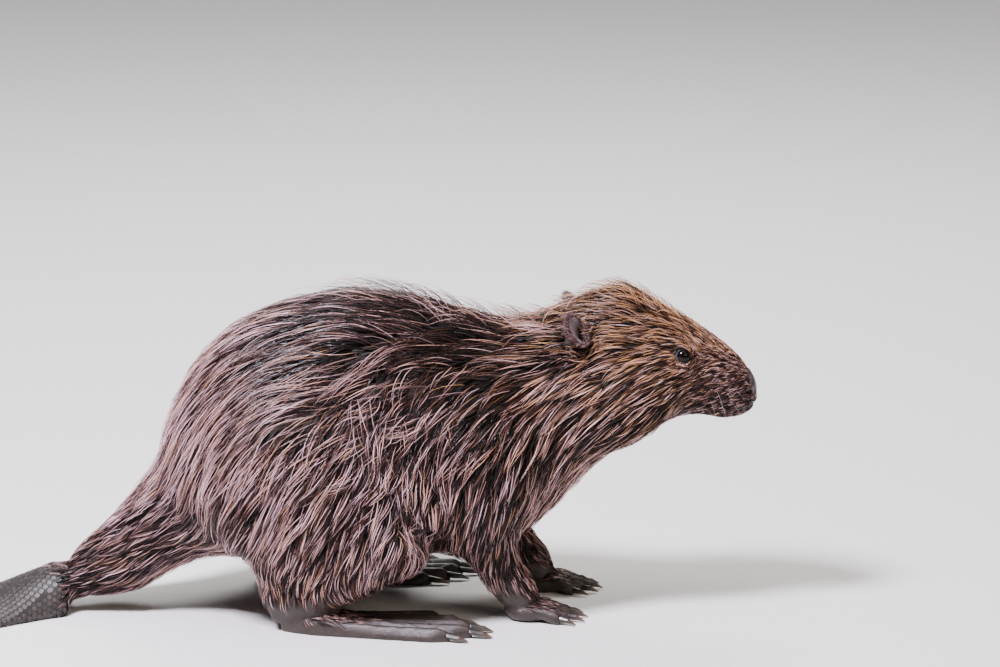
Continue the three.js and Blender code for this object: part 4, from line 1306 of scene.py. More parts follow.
class Surface:
    """The fine skin that the hairs stand on."""

    def __init__(self, skin: Object) -> None:
        """Keeps the skin's faces in a tree for quick nearest-point searches.

        Args:
            skin: The skin.
        """
        self.points, self.normals = vertices_of(skin.data), normals_of(skin.data)
        self.faces = triangles_of(skin.data)
        self.tree = BVHTree.FromPolygons(self.points.tolist(), self.faces.tolist())

    def settle(self, points: Array) -> tuple[Array, Array]:
        """Moves points onto the skin.

        Args:
            points: N by 3.

        Returns:
            The nearest points on the skin, and the skin's normals there.
        """
        found = [self.tree.find_nearest(p) for p in points.tolist()]
        on_skin = np.array([hit[0] for hit in found])
        face = np.fromiter((hit[2] for hit in found), int, len(found))
        return on_skin, unit(self.normals[self.faces[face]].sum(1))

    def shares(self, comb: Comb) -> tuple[Array, Array]:
        """Says how thickly the coat grows on each face.

        Args:
            comb: The lie of the coat.

        Returns:
            Each face's share of the roots, and the length of its hair.
        """
        a, b, c = (self.points[self.faces[:, k]] for k in range(3))
        middle, across = (a + b + c) / 3, np.cross(b - a, c - a)
        combed = comb(middle)
        grown = furred(middle, unit(across))
        return np.linalg.norm(across, axis=1) * combed.close * grown, combed.length

    def sow(self, count: int, share: Array, rng: np.random.Generator) -> tuple[Array, Array]:
        """Scatters roots over the skin.

        Args:
            count: How many.
            share: Each face's share of them.
            rng: The source of chance.

        Returns:
            The roots, and the skin's normals there.
        """
        total = np.cumsum(share)
        picked = np.searchsorted(total, (np.arange(count) + rng.random(count)) / count * total[-1])
        picked = np.minimum(picked, len(total) - 1)
        a, b, c = (self.points[self.faces[picked, k]] for k in range(3))
        u, v = rng.random((2, count, 1))
        u, v = np.where(u + v > 1, 1 - u, u), np.where(u + v > 1, 1 - v, v)
        return a + u * (b - a) + v * (c - a), unit(self.normals[self.faces[picked]].sum(1))


# ---- ears
@dataclass(frozen=True)
class EarHair:
    """One kind of short hair on an ear: how many, between which rings of the shell, and how long."""

    count: int
    rows: tuple[int, int]
    length: float


@dataclass
class Ear:
    """One ear: a closed shell from under the skin, up over a rounded rim and down into the canal."""

    side: Side
    around: int = 72  # points round each ring
    rings: tuple[int, int, int] = (12, 4, 12)  # rings up the outside, over the rim, and down the inside
    ripple: float = 0.35  # how uneven the rim is, in millimetres
    rim_shift: Pair = (-2.0, 1.0)  # how far its middle lies ahead and above, as for the root, the belly and the pit
    root_shift: Pair = (0.5, -1.0)
    belly: Triple = (1.02, 0.98, 0.45)  # width, height and place of the cup's middle, against the rim's
    belly_shift: Pair = (-1.0, 0.0)
    # how much narrower and lower the hollow is midway, how far ahead, and how far out
    bowl: tuple[float, float, float, float] = (0.6, 0.8, -1.2, 0.42)
    pit_shift: Pair = (2.0, -3.0)
    turned: Pair = (0.25, 0.7)  # how far round from straight ahead the rim is lowest, and how sharply it rises
    swept: float = 0.7  # how far the hairs lean back
    wild: Pair = (0.1, 0.08)  # how far they stray, and bend
    spread: Pair = (0.6, 1.2)  # their shortest and longest length, against what their kind has
    proud: float = 0.25  # how far they stand off the shell, in millimetres
    fewest: float = 0.15  # how many grow at the front, against behind

    def ring(self, size: Pair, shift: Pair, stand: Array) -> Array:
        """Gives one ring round the canal.

        Args:
            size: Half width and half height, in millimetres.
            shift: How far its middle lies ahead of and above the ear's.
            stand: How far out it stands, at each point round it.

        Returns:
            Points, in metres.
        """
        centre, out, ahead, up = EAR.frame(self.side)
        turn = np.linspace(0, 2 * math.pi, self.around, endpoint=False)
        across = shift[0] + size[0] * np.cos(turn)
        high = shift[1] + size[1] * np.sin(turn)
        return centre + (ahead * across[:, None] + up * high[:, None] + out * stand[:, None]) * MM

    def shell(self) -> tuple[Array, Array, Array]:
        """Builds the shell.

        Returns:
            Its rings, R by around by 3, how bare each point of them is, and how dark it is painted: darker over the
            outside and the front of the rim, painted shade deep in the canal and painted light on the pale back wall
            inside.
        """
        turn = np.linspace(0, 2 * math.pi, self.around, endpoint=False)
        lowest, sharp = self.turned
        behind = ((1 - np.cos(turn - lowest)) / 2) ** sharp
        low, high = EAR.stand
        stand = low + (high - low) * behind
        stand = stand + self.ripple * (np.sin(5 * turn + 1) + 0.6 * np.sin(11 * turn))
        flat, forward = np.zeros(self.around), (1 + np.cos(turn)) / 2
        (half_wide, half_high), (thick_rim, thick_root) = EAR.rim, EAR.wall
        rim = self.ring(EAR.rim, self.rim_shift, stand)
        root = self.ring(EAR.root, self.root_shift, flat - EAR.deep)
        wide, high, out = self.belly
        belly = self.ring((half_wide * wide, half_high * high), self.belly_shift, stand * out)
        inner_rim = self.ring((half_wide - thick_rim, half_high - thick_rim), self.rim_shift, stand - 0.3)
        narrower, lower, before, out = self.bowl
        inside = (half_wide - thick_root - narrower, half_high - thick_root - lower)
        bowl = self.ring(inside, (before, 0.0), stand * out)
        pit = self.ring(EAR.pit, self.pit_shift, flat - EAR.deep)
        rows, bare, hollow = [], [], []
        up_rings, over, down_rings = self.rings
        # hollow is how dark the leather is painted: darker up the outside and at the front of the rim, painted shade
        # deep down the canal, and painted light on the back wall inside, which stays pale until deep
        for t in np.linspace(0, 1, up_rings):
            rows.append((1 - t) ** 2 * root + 2 * t * (1 - t) * belly + t**2 * rim)
            bare.append(flat + 0.3)
            hollow.append(flat + 1 - 0.5 * t**3)
        outwards = EAR.frame(self.side)[1]
        for t in np.linspace(0, 1, over + 2)[1:-1]:
            swell = math.sin(math.pi * t) * thick_rim * 0.5 * MM
            rows.append(rim * (1 - t) + inner_rim * t + outwards * swell)
            bare.append(flat + 0.9)
            hollow.append(0.25 + 0.7 * forward)
        for t in np.linspace(0, 1, down_rings):
            rows.append((1 - t) ** 2 * inner_rim + 2 * t * (1 - t) * bowl + t**2 * pit)
            bare.append(flat + 1)
            hollow.append(0.1 + 0.9 * t ** (1.7 - 1.3 * forward))
        return np.array(rows), np.array(bare), np.array(hollow)

    def add_to(self, skin: Object) -> tuple[Array, Array]:
        """Joins the ear's shell onto the skin's mesh.

        Args:
            skin: The skin.

        Returns:
            How bare each of the shell's vertices is, and how dark it is painted, with painted shade deep in the canal
            and painted light on the back wall inside.
        """
        rows, bare, hollow = self.shell()
        faces = loop_faces(len(rows), self.around, closed_rows=True)
        mesh = bmesh.new()
        mesh.from_mesh(skin.data)
        added = [mesh.verts.new(p) for p in rows.reshape(-1, 3)]
        made = [mesh.faces.new([added[i] for i in corners]) for corners in faces.tolist()]
        bmesh.ops.recalc_face_normals(mesh, faces=made)
        for made_face in made:
            made_face.smooth = True
        mesh.to_mesh(skin.data)
        mesh.free()
        return bare.ravel(), hollow.ravel()

    def hairs(self, rng: np.random.Generator, knots: int) -> tuple[Array, Array, Array]:
        """Lays short hairs up the back of the ear, along its rim and thinly inside it.

        Args:
            rng: The source of chance.
            knots: Points along each hair.

        Returns:
            The hairs, N by knots by 3, the ways out of the skin, and the number of each one's kind.
        """
        rows, _, _ = self.shell()
        up_rings, over, _ = self.rings
        middle, out, _, _ = EAR.frame(self.side)
        behind = self.fewest + (1 - np.cos(np.linspace(0, 2 * math.pi, self.around, endpoint=False))) / 2
        back = EarHair(1700, (1, up_rings - 1), 9.0)
        rim = EarHair(650, (up_rings - 1, up_rings + over), 7.0)
        inside = EarHair(300, (up_rings + over, up_rings + over + 5), 6.0)
        laid, ups, kinds = [], [], []
        for kind, grown in enumerate((back, rim, inside)):
            row = rng.uniform(*grown.rows, grown.count)
            column = rng.choice(self.around, grown.count, p=behind / behind.sum())
            first = np.floor(row).astype(int)
            share = (row - first)[:, None]
            root = rows[first, column] * (1 - share) + rows[np.minimum(first + 1, len(rows) - 1), column] * share
            away = unit(root - middle - out * ((root - middle) @ out)[:, None])
            if grown is back:
                way, up = unit(rows[first + 1, column] - rows[first, column]), away
            elif grown is rim:
                way, up = unit(away * 0.35 + out * 0.6), out[None] + away * 0
            else:
                way, up = unit(out * 0.7 - away * 0.15), -away
            stray, curl = self.wild
            way = unit(way + rng.normal(0, stray, way.shape) - np.array((self.swept, 0, 0)))
            reach = grown.length * MM * rng.uniform(*self.spread, grown.count)[:, None, None]
            along = np.linspace(0, 1, knots)[None, :, None]
            bend = rng.normal(0, curl, way.shape)[:, None, :] * along**2
            proud = up[:, None, :] * self.proud * MM
            laid.append(root[:, None, :] + (way[:, None, :] * along + bend) * reach + proud)
            ups.append(np.repeat(up[:, None, :], knots, 1))
            kinds.append(np.full(grown.count, kind))
        return np.concatenate(laid), np.concatenate(ups), np.concatenate(kinds)


# ---- eyes
@dataclass
class Eye:
    """One eyeball, turned round its own axis, with the cornea standing out in front."""

    side: Side
    rings: int = 40  # from the front of the ball to its back
    around: int = 64  # points round each ring
    cornea: float = 0.6  # how far from the axis the cornea reaches, in radians

    def build(self, material: Material) -> None:
        """Makes the piece.

        Args:
            material: What it is made of.
        """
        centre, axis, along, up = EYE.frame(self.side)
        turn = np.linspace(0, math.pi, self.rings)[1:-1]
        radius = EYE.ball + EYE.cornea * np.exp(-((turn / self.cornea) ** 4))
        spin = np.linspace(0, 2 * math.pi, self.around, endpoint=False)
        wheel = along * np.cos(spin)[:, None] + up * np.sin(spin)[:, None]
        rows = [axis * (r * math.cos(t)) + wheel * (r * math.sin(t)) for r, t in zip(radius, turn)]
        points = np.vstack([np.array(rows).reshape(-1, 3), axis * (EYE.ball + EYE.cornea), -axis * EYE.ball])
        bands = loop_faces(len(turn), self.around)
        piece = mesh_piece(f"eyeball_{self.side.word}", centre + points * MM, bands, material)
        mesh = bmesh.new()
        mesh.from_mesh(piece.data)
        mesh.verts.ensure_lookup_table()
        front, back = mesh.verts[-2], mesh.verts[-1]
        last = (len(turn) - 1) * self.around
        for k in range(self.around):
            after = (k + 1) % self.around
            mesh.faces.new((front, mesh.verts[k], mesh.verts[after]))
            mesh.faces.new((back, mesh.verts[last + after], mesh.verts[last + k]))
        bmesh.ops.recalc_face_normals(mesh, faces=mesh.faces[:])
        mesh.to_mesh(piece.data)
        mesh.free()
        piece.data.polygons.foreach_set("use_smooth", np.ones(len(piece.data.polygons), bool))
        set_values(piece, "off_axis", np.append(np.repeat(turn, self.around), (0, math.pi)))
        set_values(piece, "round_axis", np.append(np.tile(np.abs(spin - math.pi), len(turn)), (0, 0)))
        finish_piece(piece, (f"eye_{self.side.word}",))


# ---- claws
@dataclass
class Claws:
    """The twenty claws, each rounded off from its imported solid, with horn that pales to the tip."""

    voxel: float = 0.5 * MM
    rounds: int = 14
    rooted: float = 5.0  # how far each one's base goes back into its toe, in millimetres
    base: float = 0.35  # how much of its length belongs to the base

    def build(self, material: Material) -> None:
        """Makes a piece for each claw.

        Args:
            material: What they are made of.
        """
        for node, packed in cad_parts.items():
            if not node.startswith("claw_"):
                continue
            foot = "fore_paw" if "fore" in node else "hind_foot"
            middle = np.mean([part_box(f"{foot}_{node.split('_')[2]}")[k] for k in range(2)], axis=0)
            piece = mesh_piece(f"horn_{node[5:]}", *welded(packed.data), material)
            remeshed(piece, self.voxel, 0.5, self.rounds)
            points = vertices_of(piece.data)
            away = np.linalg.norm(points - middle, axis=1)
            along = (away - away.min()) / np.ptp(away)
            base, tip = points[along < 0.1].mean(0), points[along.argmax()]
            points -= unit(tip - base) * (smooth_step(self.base, 0, along) * self.rooted * MM)[:, None]
            points[:, 2] = np.maximum(points[:, 2], 0)
            move_vertices(piece.data, points)
            set_values(piece, "along", along)
            finish_piece(piece, (node,))


# ---- whiskers and bristles
@dataclass(frozen=True)
class Hair:
    """A tapering, bent hair that stands on every point of a cloud."""

    sides: int = 5
    steps: int = 6
    bow: float = 0.55  # how far along it its bend is governed from
    tip: float = 0.12  # how thick its tip is, against its root

    def tree(self) -> NodeTree:
        """Builds the tree that grows it.

        Returns:
            The tree.
        """
        tree, entry, leave = node_group(
            "tapering_hairs",
            Thickness=("NodeSocketFloat", 0.02),
            Bend=("NodeSocketFloat", 0.15),
            Unevenness=("NodeSocketFloat", 0.2),
            Material=("NodeSocketMaterial", None),
        )
        bend = add_node(tree, "ShaderNodeCombineXYZ", {"X": entry["Bend"], "Z": 1.0})
        path = {"Resolution": self.steps, "Start": (0, 0, 0), "Middle": (0, 0, self.bow), "End": bend}
        hair = add_node(tree, "GeometryNodeCurveQuadraticBezier", path)
        along = add_node(tree, "GeometryNodeSplineParameter").outputs["Factor"]
        taper = add_node(tree, "ShaderNodeMapRange", {0: along, 1: 0.0, 2: 1.0, 3: 1.0, 4: self.tip})
        radius = add_node(tree, "ShaderNodeMath", {0: taper, 1: entry["Thickness"]}, operation="MULTIPLY")
        section = add_node(tree, "GeometryNodeCurvePrimitiveCircle", {"Resolution": self.sides, "Radius": 1.0})
        swept = {"Curve": hair, "Profile Curve": section, "Scale": radius, "Fill Caps": True}
        tube = add_node(tree, "GeometryNodeCurveToMesh", swept)
        way = add_node(tree, "GeometryNodeInputNamedAttribute", {"Name": "way"}, data_type="FLOAT_VECTOR")
        length = add_node(tree, "GeometryNodeInputNamedAttribute", {"Name": "length"}, data_type="FLOAT")
        aim = add_node(tree, "FunctionNodeAlignRotationToVector", {"Vector": way}, axis="Z")
        spin = add_node(tree, "FunctionNodeRandomValue", {2: 0.0, 3: 2 * math.pi, "Seed": SEED}, data_type="FLOAT")
        about = add_node(tree, "ShaderNodeCombineXYZ", {"Z": spin.outputs[1]})
        spun = {"Rotation": aim, "Rotate By": about}
        turned = add_node(tree, "FunctionNodeRotateRotation", spun, rotation_space="LOCAL")
        low = add_node(tree, "ShaderNodeMath", {0: 1.0, 1: entry["Unevenness"]}, operation="SUBTRACT")
        uneven = add_node(tree, "FunctionNodeRandomValue", {2: low, 3: 1.0, "Seed": SEED + 1}, data_type="FLOAT")
        size = add_node(tree, "ShaderNodeMath", {0: length, 1: uneven.outputs[1]}, operation="MULTIPLY")
        planted = {"Points": entry["Geometry"], "Instance": tube, "Rotation": turned, "Scale": size}
        placed = add_node(tree, "GeometryNodeInstanceOnPoints", planted)
        real = add_node(tree, "GeometryNodeRealizeInstances", {0: placed})
        smooth = add_node(tree, "GeometryNodeSetShadeSmooth", {0: real})
        dressed = add_node(tree, "GeometryNodeSetMaterial", {0: smooth, "Material": entry["Material"]})
        tree.links.new(dressed.outputs[0], leave.inputs[0])
        return tree


@dataclass
class Whiskers:
    """Stiff whiskers in rows on the muzzle, and a few over each eye and on the cheek."""

    # for each row, the place of its first root, the step to the next, how many, and their length
    rows: tuple = (((236, 28, 196), (-8.0, 1.6, 0.6), 3, 30.0), ((231, 30, 190), (-8.0, 1.5, 0.2), 3, 34.0))
    # the places and length of the few over the eye and on the cheek
    brow: tuple = (((186, 34, 247), 20.0), ((182, 36, 246), 24.0), ((160, 54, 205), 24.0), ((163, 54, 200), 20.0))
    way: Triple = (0.6, 0.5, -0.65)  # the way that the first of each row points, as brow_way is for the few
    fan: float = 0.15  # how much further back each next one points
    brow_way: Triple = (-0.8, 0.3, 0.3)
    thickness: float = 0.0046  # of one at its root, against its length
    shortest: float = 0.55  # the share of its length that its place in the row doesn't change
    strays: Pair = (0.4, 0.06)  # how far a root is out of its row, in millimetres, and a way from where it points
    stands: float = 0.25  # how far each leans out of the skin
    rooted: float = 0.8  # how deep each one's root is, in millimetres

    def build(self, surface: Surface, hair: NodeTree, material: Material) -> None:
        """Makes one piece on each side.

        Args:
            surface: The skin.
            hair: The tree that grows them.
            material: What they are made of.
        """
        rng = np.random.default_rng(SEED)
        for side in Side:
            roots, lengths, ways = [], [], []
            for first, step, count, length in self.rows:
                for k in range(count):
                    ways.append(np.array(self.way) - (self.fan * k, 0, 0))
                    roots.append(np.array(first) + np.array(step) * k + rng.normal(0, self.strays[0], 3))
                    lengths.append(length * (self.shortest + (1 - self.shortest) * (k + 1) / count))
            for at, length in self.brow:
                roots.append(np.array(at, float))
                lengths.append(length)
                ways.append(np.array(self.brow_way))
            spots, normals = surface.settle(np.array([place(*mirrored(root, side)) for root in roots]))
            ways = np.array([mirrored(way, side) for way in ways])
            ways = ways + normals * self.stands + rng.normal(0, self.strays[1], spots.shape)
            roots, vectors = spots - normals * self.rooted * MM, {"way": unit(ways), "length": np.array(lengths) * MM}
            looks = {"Thickness": self.thickness, "Bend": 0.22, "Unevenness": 0.15, "Material": material}
            finish_piece(grow_on_points(f"whiskers_{side.word}", roots, vectors, hair, **looks))


# ---- the tail
@dataclass
class TailScales:
    """Six-sided scales in staggered rows over the paddle, with a few stiff bristles between them."""

    pitch: Pair = (4.3, 5.0)  # from one row to the next, and across a row
    height: float = 0.8
    tilt: float = 0.13  # how far a scale's hind edge lifts, in radians
    bristles: int = 4  # one scale in this many has a bristle behind it
    bristle: float = 6.0
    slope: float = 0.62  # how high the skin's normal is where the rows on top give way to those on the sides
    levels: int = 8  # rows on each side, one over another
    turned: float = 0.3  # how far the tail turns to the animal's right, in radians
    reach: tuple[int, int] = (44, 26)  # rows and columns to try each way from the paddle's middle
    size: float = 0.6  # a scale's radius, against the pitch across a row
    scaly: float = 0.6
    from_far: Triple = (0.2, -0.05, 0.3)  # where the search begins: above, below and beside the tail, in metres

    def tree(self) -> NodeTree:
        """Builds the tree that lays a scale on each point.

        Returns:
            The tree.
        """
        tree, entry, leave = node_group(
            "tail_scales",
            Radius=("NodeSocketFloat", 0.003),
            Height=("NodeSocketFloat", 0.0007),
            Tilt=("NodeSocketFloat", 0.1),
            Unevenness=("NodeSocketFloat", 0.1),
            Material=("NodeSocketMaterial", None),
        )
        corners, narrower, rooted = 6, 0.8, -0.45  # of a scale: its top's width, and how much of it is under the skin
        top = add_node(tree, "ShaderNodeMath", {0: entry["Radius"], 1: narrower}, operation="MULTIPLY")
        cone = {"Vertices": corners, "Radius Top": top, "Radius Bottom": entry["Radius"], "Depth": entry["Height"]}
        plate = add_node(tree, "GeometryNodeMeshCone", cone)
        sunk = add_node(tree, "ShaderNodeMath", {0: entry["Height"], 1: rooted}, operation="MULTIPLY")
        drop = add_node(tree, "ShaderNodeCombineXYZ", {"Z": sunk})
        tip = add_node(tree, "ShaderNodeCombineXYZ", {"Y": entry["Tilt"]})
        laid = add_node(tree, "GeometryNodeTransform", {0: plate, "Translation": drop, "Rotation": tip})
        up, ahead = (
            add_node(tree, "GeometryNodeInputNamedAttribute", {"Name": name}, data_type="FLOAT_VECTOR")
            for name in ("up", "ahead")
        )
        stood = add_node(tree, "FunctionNodeAlignRotationToVector", {"Vector": up}, axis="Z")
        aim = {"Rotation": stood, "Vector": ahead}
        aimed = add_node(tree, "FunctionNodeAlignRotationToVector", aim, axis="X", pivot_axis="Z")
        low = add_node(tree, "ShaderNodeMath", {0: 1.0, 1: entry["Unevenness"]}, operation="SUBTRACT")
        size = add_node(tree, "FunctionNodeRandomValue", {2: low, 3: 1.0, "Seed": SEED}, data_type="FLOAT").outputs[1]
        planted = {"Points": entry["Geometry"], "Instance": laid, "Rotation": aimed, "Scale": size}
        placed = add_node(tree, "GeometryNodeInstanceOnPoints", planted)
        real = add_node(tree, "GeometryNodeRealizeInstances", {0: placed})
        dressed = add_node(tree, "GeometryNodeSetMaterial", {0: real, "Material": entry["Material"]})
        tree.links.new(dressed.outputs[0], leave.inputs[0])
        return tree

    def look(self, surface: Surface, start: tuple, way: tuple, fits: Pair) -> list:
        """Looks for a place for one scale.

        Args:
            surface: The skin.
            start: Where the search begins.
            way: Which way it goes.
            fits: How high the skin's normal has to be there, over and up to.

        Returns:
            Nothing, or one pair of the place and the skin's normal there.
        """
        hit, _, face, _ = surface.tree.ray_cast(start, way)
        if face is None or scaly(np.array([hit]))[0] <= self.scaly:
            return []
        normal = unit(surface.normals[surface.faces[face]].sum(0))
        return [(hit, normal)] if fits[0] < abs(normal[2]) <= fits[1] else []

    def spots(self, surface: Surface) -> tuple[Array, Array, Array]:
        """Finds a place for each scale, above, below and at the sides.

        Args:
            surface: The skin.

        Returns:
            The places, the skin's normals there, and the way towards the tail's tip.
        """
        low, high = (np.array(corner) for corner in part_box("tail_paddle"))
        back = unit(np.array((-math.cos(self.turned), -math.sin(self.turned), 0.0)))
        aside = np.array((-back[1], back[0], 0.0))
        row_step, column_step = (value * MM for value in self.pitch)
        above, below, beside = self.from_far
        rows, columns = self.reach
        found = []
        for row in range(-rows, rows):
            spine = (low + high) / 2 + back * (row * row_step)
            for column in range(-columns, columns):
                at = spine + aside * ((column + row % 2 / 2) * column_step)
                for start, down in ((above, -1.0), (below, 1.0)):
                    found += self.look(surface, (at[0], at[1], start), (0, 0, down), (self.slope, 1))
            for level in range(self.levels):
                height = (level + 0.7 + row % 2 / 2) * column_step
                for way in (-1.0, 1.0):
                    start = (spine[0], spine[1] - beside * way, height)
                    found += self.look(surface, start, (0, way, 0), (-1, self.slope))
        places, normals = (np.array([pair[k] for pair in found]) for k in range(2))
        return places, normals, np.tile(back, (len(places), 1))

    def build(self, surface: Surface, hair: NodeTree, scale: Material, bristle: Material) -> None:
        """Makes the scales and the bristles.

        Args:
            surface: The skin.
            hair: The tree that grows the bristles.
            scale: What the scales are made of.
            bristle: What the bristles are made of.
        """
        places, normals, back = self.spots(surface)
        vectors = {"up": normals, "ahead": back}
        radius = self.pitch[1] * self.size * MM
        sizes = {"Radius": radius, "Height": self.height * MM, "Tilt": self.tilt, "Unevenness": 0.12}
        piece = grow_on_points("tail_scales", places, vectors, self.tree(), **sizes, Material=scale)
        finish_piece(piece)
        some = (np.arange(len(places)) % self.bristles == 0) & (normals[:, 2] > 0)
        behind, stands = 0.8, 0.35  # how far behind a scale's middle its bristle is, and how steep
        roots, ways = places[some] + back[some] * radius * behind, unit(back[some] + normals[some] * stands)
        vectors = {"way": ways, "length": np.full(some.sum(), self.bristle * MM)}
        looks = {"Thickness": 0.03, "Bend": 0.1, "Unevenness": 0.5, "Material": bristle}
        finish_piece(grow_on_points("tail_bristles", roots, vectors, hair, **looks))


# ---- the coat
@dataclass(frozen=True)
class Layer:
    """One layer of the coat."""

    name: str
    count: int
    lengths: Pair  # the shortest and longest hair, in millimetres, among which it grows
    length: float  # against what the lie says, as width is
    width: float
    rise: Pair  # lowest and highest share of the coat's depth that a lock stands at
    tone: float  # added to the lie's tone
    spread: float  # how much the locks differ in tone
    rings: int
    stray: float  # how far a lock swerves, against the lie's tousle
    follow: float  # how much it joins the clumps
    upper: float = 0.0  # how much of it grows on the back, nape and crown alone


@dataclass
class Ground:
    """For each of the skin's faces, its share of the roots, its hair's length, and how much it is the back's crest."""

    share: Array
    hair: Array
    crest: Array


@dataclass
class Locks:
    """Laid-out locks: their points, the skin's normals there, and what the comb says at each root."""

    laid: Array
    ups: Array
    combed: Combed
    tone: Array


@dataclass
class Coat:
    """The wet coat, of closed tapering locks laid over the skin."""

    layers: tuple[Layer, ...] = (
        # the under layer's low tone is partly its own darker colour and partly painted shade under the guard hair
        Layer("under", 11500, (13, 99), 0.75, 2.2, (0.1, 0.4), -0.38, 0.1, 4, 1.2, 0.5),
        Layer("guard", 27200, (13, 99), 1.0, 0.74, (0.3, 1.0), 0.04, 0.38, 5, 1.0, 1.0),
        Layer("short", 23000, (0, 13), 1.0, 1.0, (0.2, 1.0), -0.02, 0.3, 3, 1.2, 0.6),
        Layer("stray", 1000, (18, 99), 0.9, 0.5, (1.1, 1.9), 0.2, 0.2, 6, 2.2, 0.0, 1.0),
    )
    flat: float = 0.6  # height of a lock against its width
    patch: float = 0.003  # width of a lock's patch on the map
    gather: int = 6  # roots for each one that leads a clump
    apart: float = 0.3  # how far from its leader a root may stand and still join it, against its length
    edge: float = 1.5  # half the millimetres of length over which one layer gives way to another
    lengths: Pair = (0.65, 1.15)  # the shortest and longest lock, against what its lie and layer say
    swerve: float = 0.6  # how far a lock swerves by itself, against how far its clump does
    curl: Pair = (1.6, 0.3)  # how far it curls, against that, and where along it the curl is nought
    joins: float = 1.1  # the power of its length with which a lock nears its leader
    shared: float = 0.55  # how much of its rise is its leader's
    lift: Triple = (2.5, 0.7, 0.3)  # how soon a lock reaches its rise, where its tip starts to sink, and by how much
    rooted: float = 0.3 * MM
    clump_tone: float = 0.13
    # painted shade: locks that stand lower in the coat are darker, as if shaded by those over them
    rise_shade: Pair = (0.75, 0.65)  # how much lighter a lock is for standing higher, and the rise that changes nothing
    # how thick a lock is at its root, how soon it is thickest, and how sharply it thins
    taper: Triple = (0.6, 1.4, 2.4)
    varied: Pair = (0.3, 0.3)  # how much the locks differ in width and in gold

    def ground(self, surface: Surface, comb: Comb) -> Ground:
        """Looks over the skin.

        Args:
            surface: The skin.
            comb: The lie of the coat.

        Returns:
            Where the coat can grow.
        """
        high, ahead, off_ear = (0.2, 0.26), (-120, -20), (2.0, 2.6)
        share, hair = surface.shares(comb)
        middle = surface.points[surface.faces].mean(1)
        crest = smooth_step(*high, middle[:, 2]) * smooth_step(*ahead, (middle - HOME)[:, 0] / MM)
        for side in Side:
            crest *= smooth_step(*off_ear, ear_outline(middle, side))
        return Ground(share, hair / MM, crest)

    def lay(self, layer: Layer, ground: Ground, surface: Surface, comb: Comb, rng: np.random.Generator) -> Locks:
        """Lays out a layer's locks.

        Args:
            layer: Which.
            ground: Where the coat can grow.
            surface: The skin.
            comb: The lie of the coat.
            rng: The source of chance.

        Returns:
            The locks.
        """
        longer, too_long = (smooth_step(at - self.edge, at + self.edge, ground.hair) for at in layer.lengths)
        share = ground.share * longer * (1 - too_long) * (1 - layer.upper + layer.upper * ground.crest)
        roots, normals = surface.sow(layer.count, share, rng)
        count = len(roots)
        combed = comb(roots)
        leads = rng.choice(count, count // self.gather, replace=False)
        tree = KDTree(len(leads))
        for number, lead in enumerate(leads):
            tree.insert(roots[lead], number)
        tree.balance()
        leader = leads[np.fromiter((tree.find(p)[1] for p in roots.tolist()), int, count)]
        length = combed.length * layer.length * rng.uniform(*self.lengths, count)
        tousle = layer.stray * combed.tousle
        swerve = (rng.normal(0, 1, count) * tousle)[leader] + rng.normal(0, self.swerve, count) * tousle
        curl = rng.normal(0, self.curl[0], count) * tousle
        laid, ups, here, up = [roots], [normals], roots, normals
        for ring in range(layer.rings):
            way = combed.way if ring == 0 else comb(here).way
            way = unit(way - up * (way * up).sum(1, keepdims=True))
            turn = (swerve + curl * (ring / layer.rings - self.curl[1]))[:, None]
            way = way * np.cos(turn) + np.cross(up, way) * np.sin(turn)
            here, up = surface.settle(here + way * (length / layer.rings)[:, None])
            laid.append(here)
            ups.append(up)
        laid, ups = np.stack(laid, 1), np.stack(ups, 1)
        along = np.linspace(0, 1, layer.rings + 1)
        near = np.linalg.norm(roots - roots[leader], axis=1) < self.apart * length
        pull = (combed.clump * layer.follow * near)[:, None, None] * along[None, :, None] ** self.joins
        laid = laid + (laid[leader] - laid) * pull
        rise = rng.uniform(*layer.rise, count)
        rise = np.where(near, (1 - self.shared) * rise + self.shared * rise[leader], rise)
        soon, sinks, by = self.lift
        lift = (1 - (1 - along) ** soon) * (1 - by * smooth_step(sinks, 1.0, along))
        height = (rise * combed.depth)[:, None] * lift[None] - self.rooted
        # painted shade: lower locks darker, higher ones lighter
        depth_shade, level = self.rise_shade
        tone = combed.tone + layer.tone + rng.normal(0, layer.spread, count)
        tone += rng.normal(0, self.clump_tone, count)[leader] + depth_shade * (rise / layer.rise[1] - level)
        return Locks(laid + ups * height[:, :, None], ups, combed, tone)

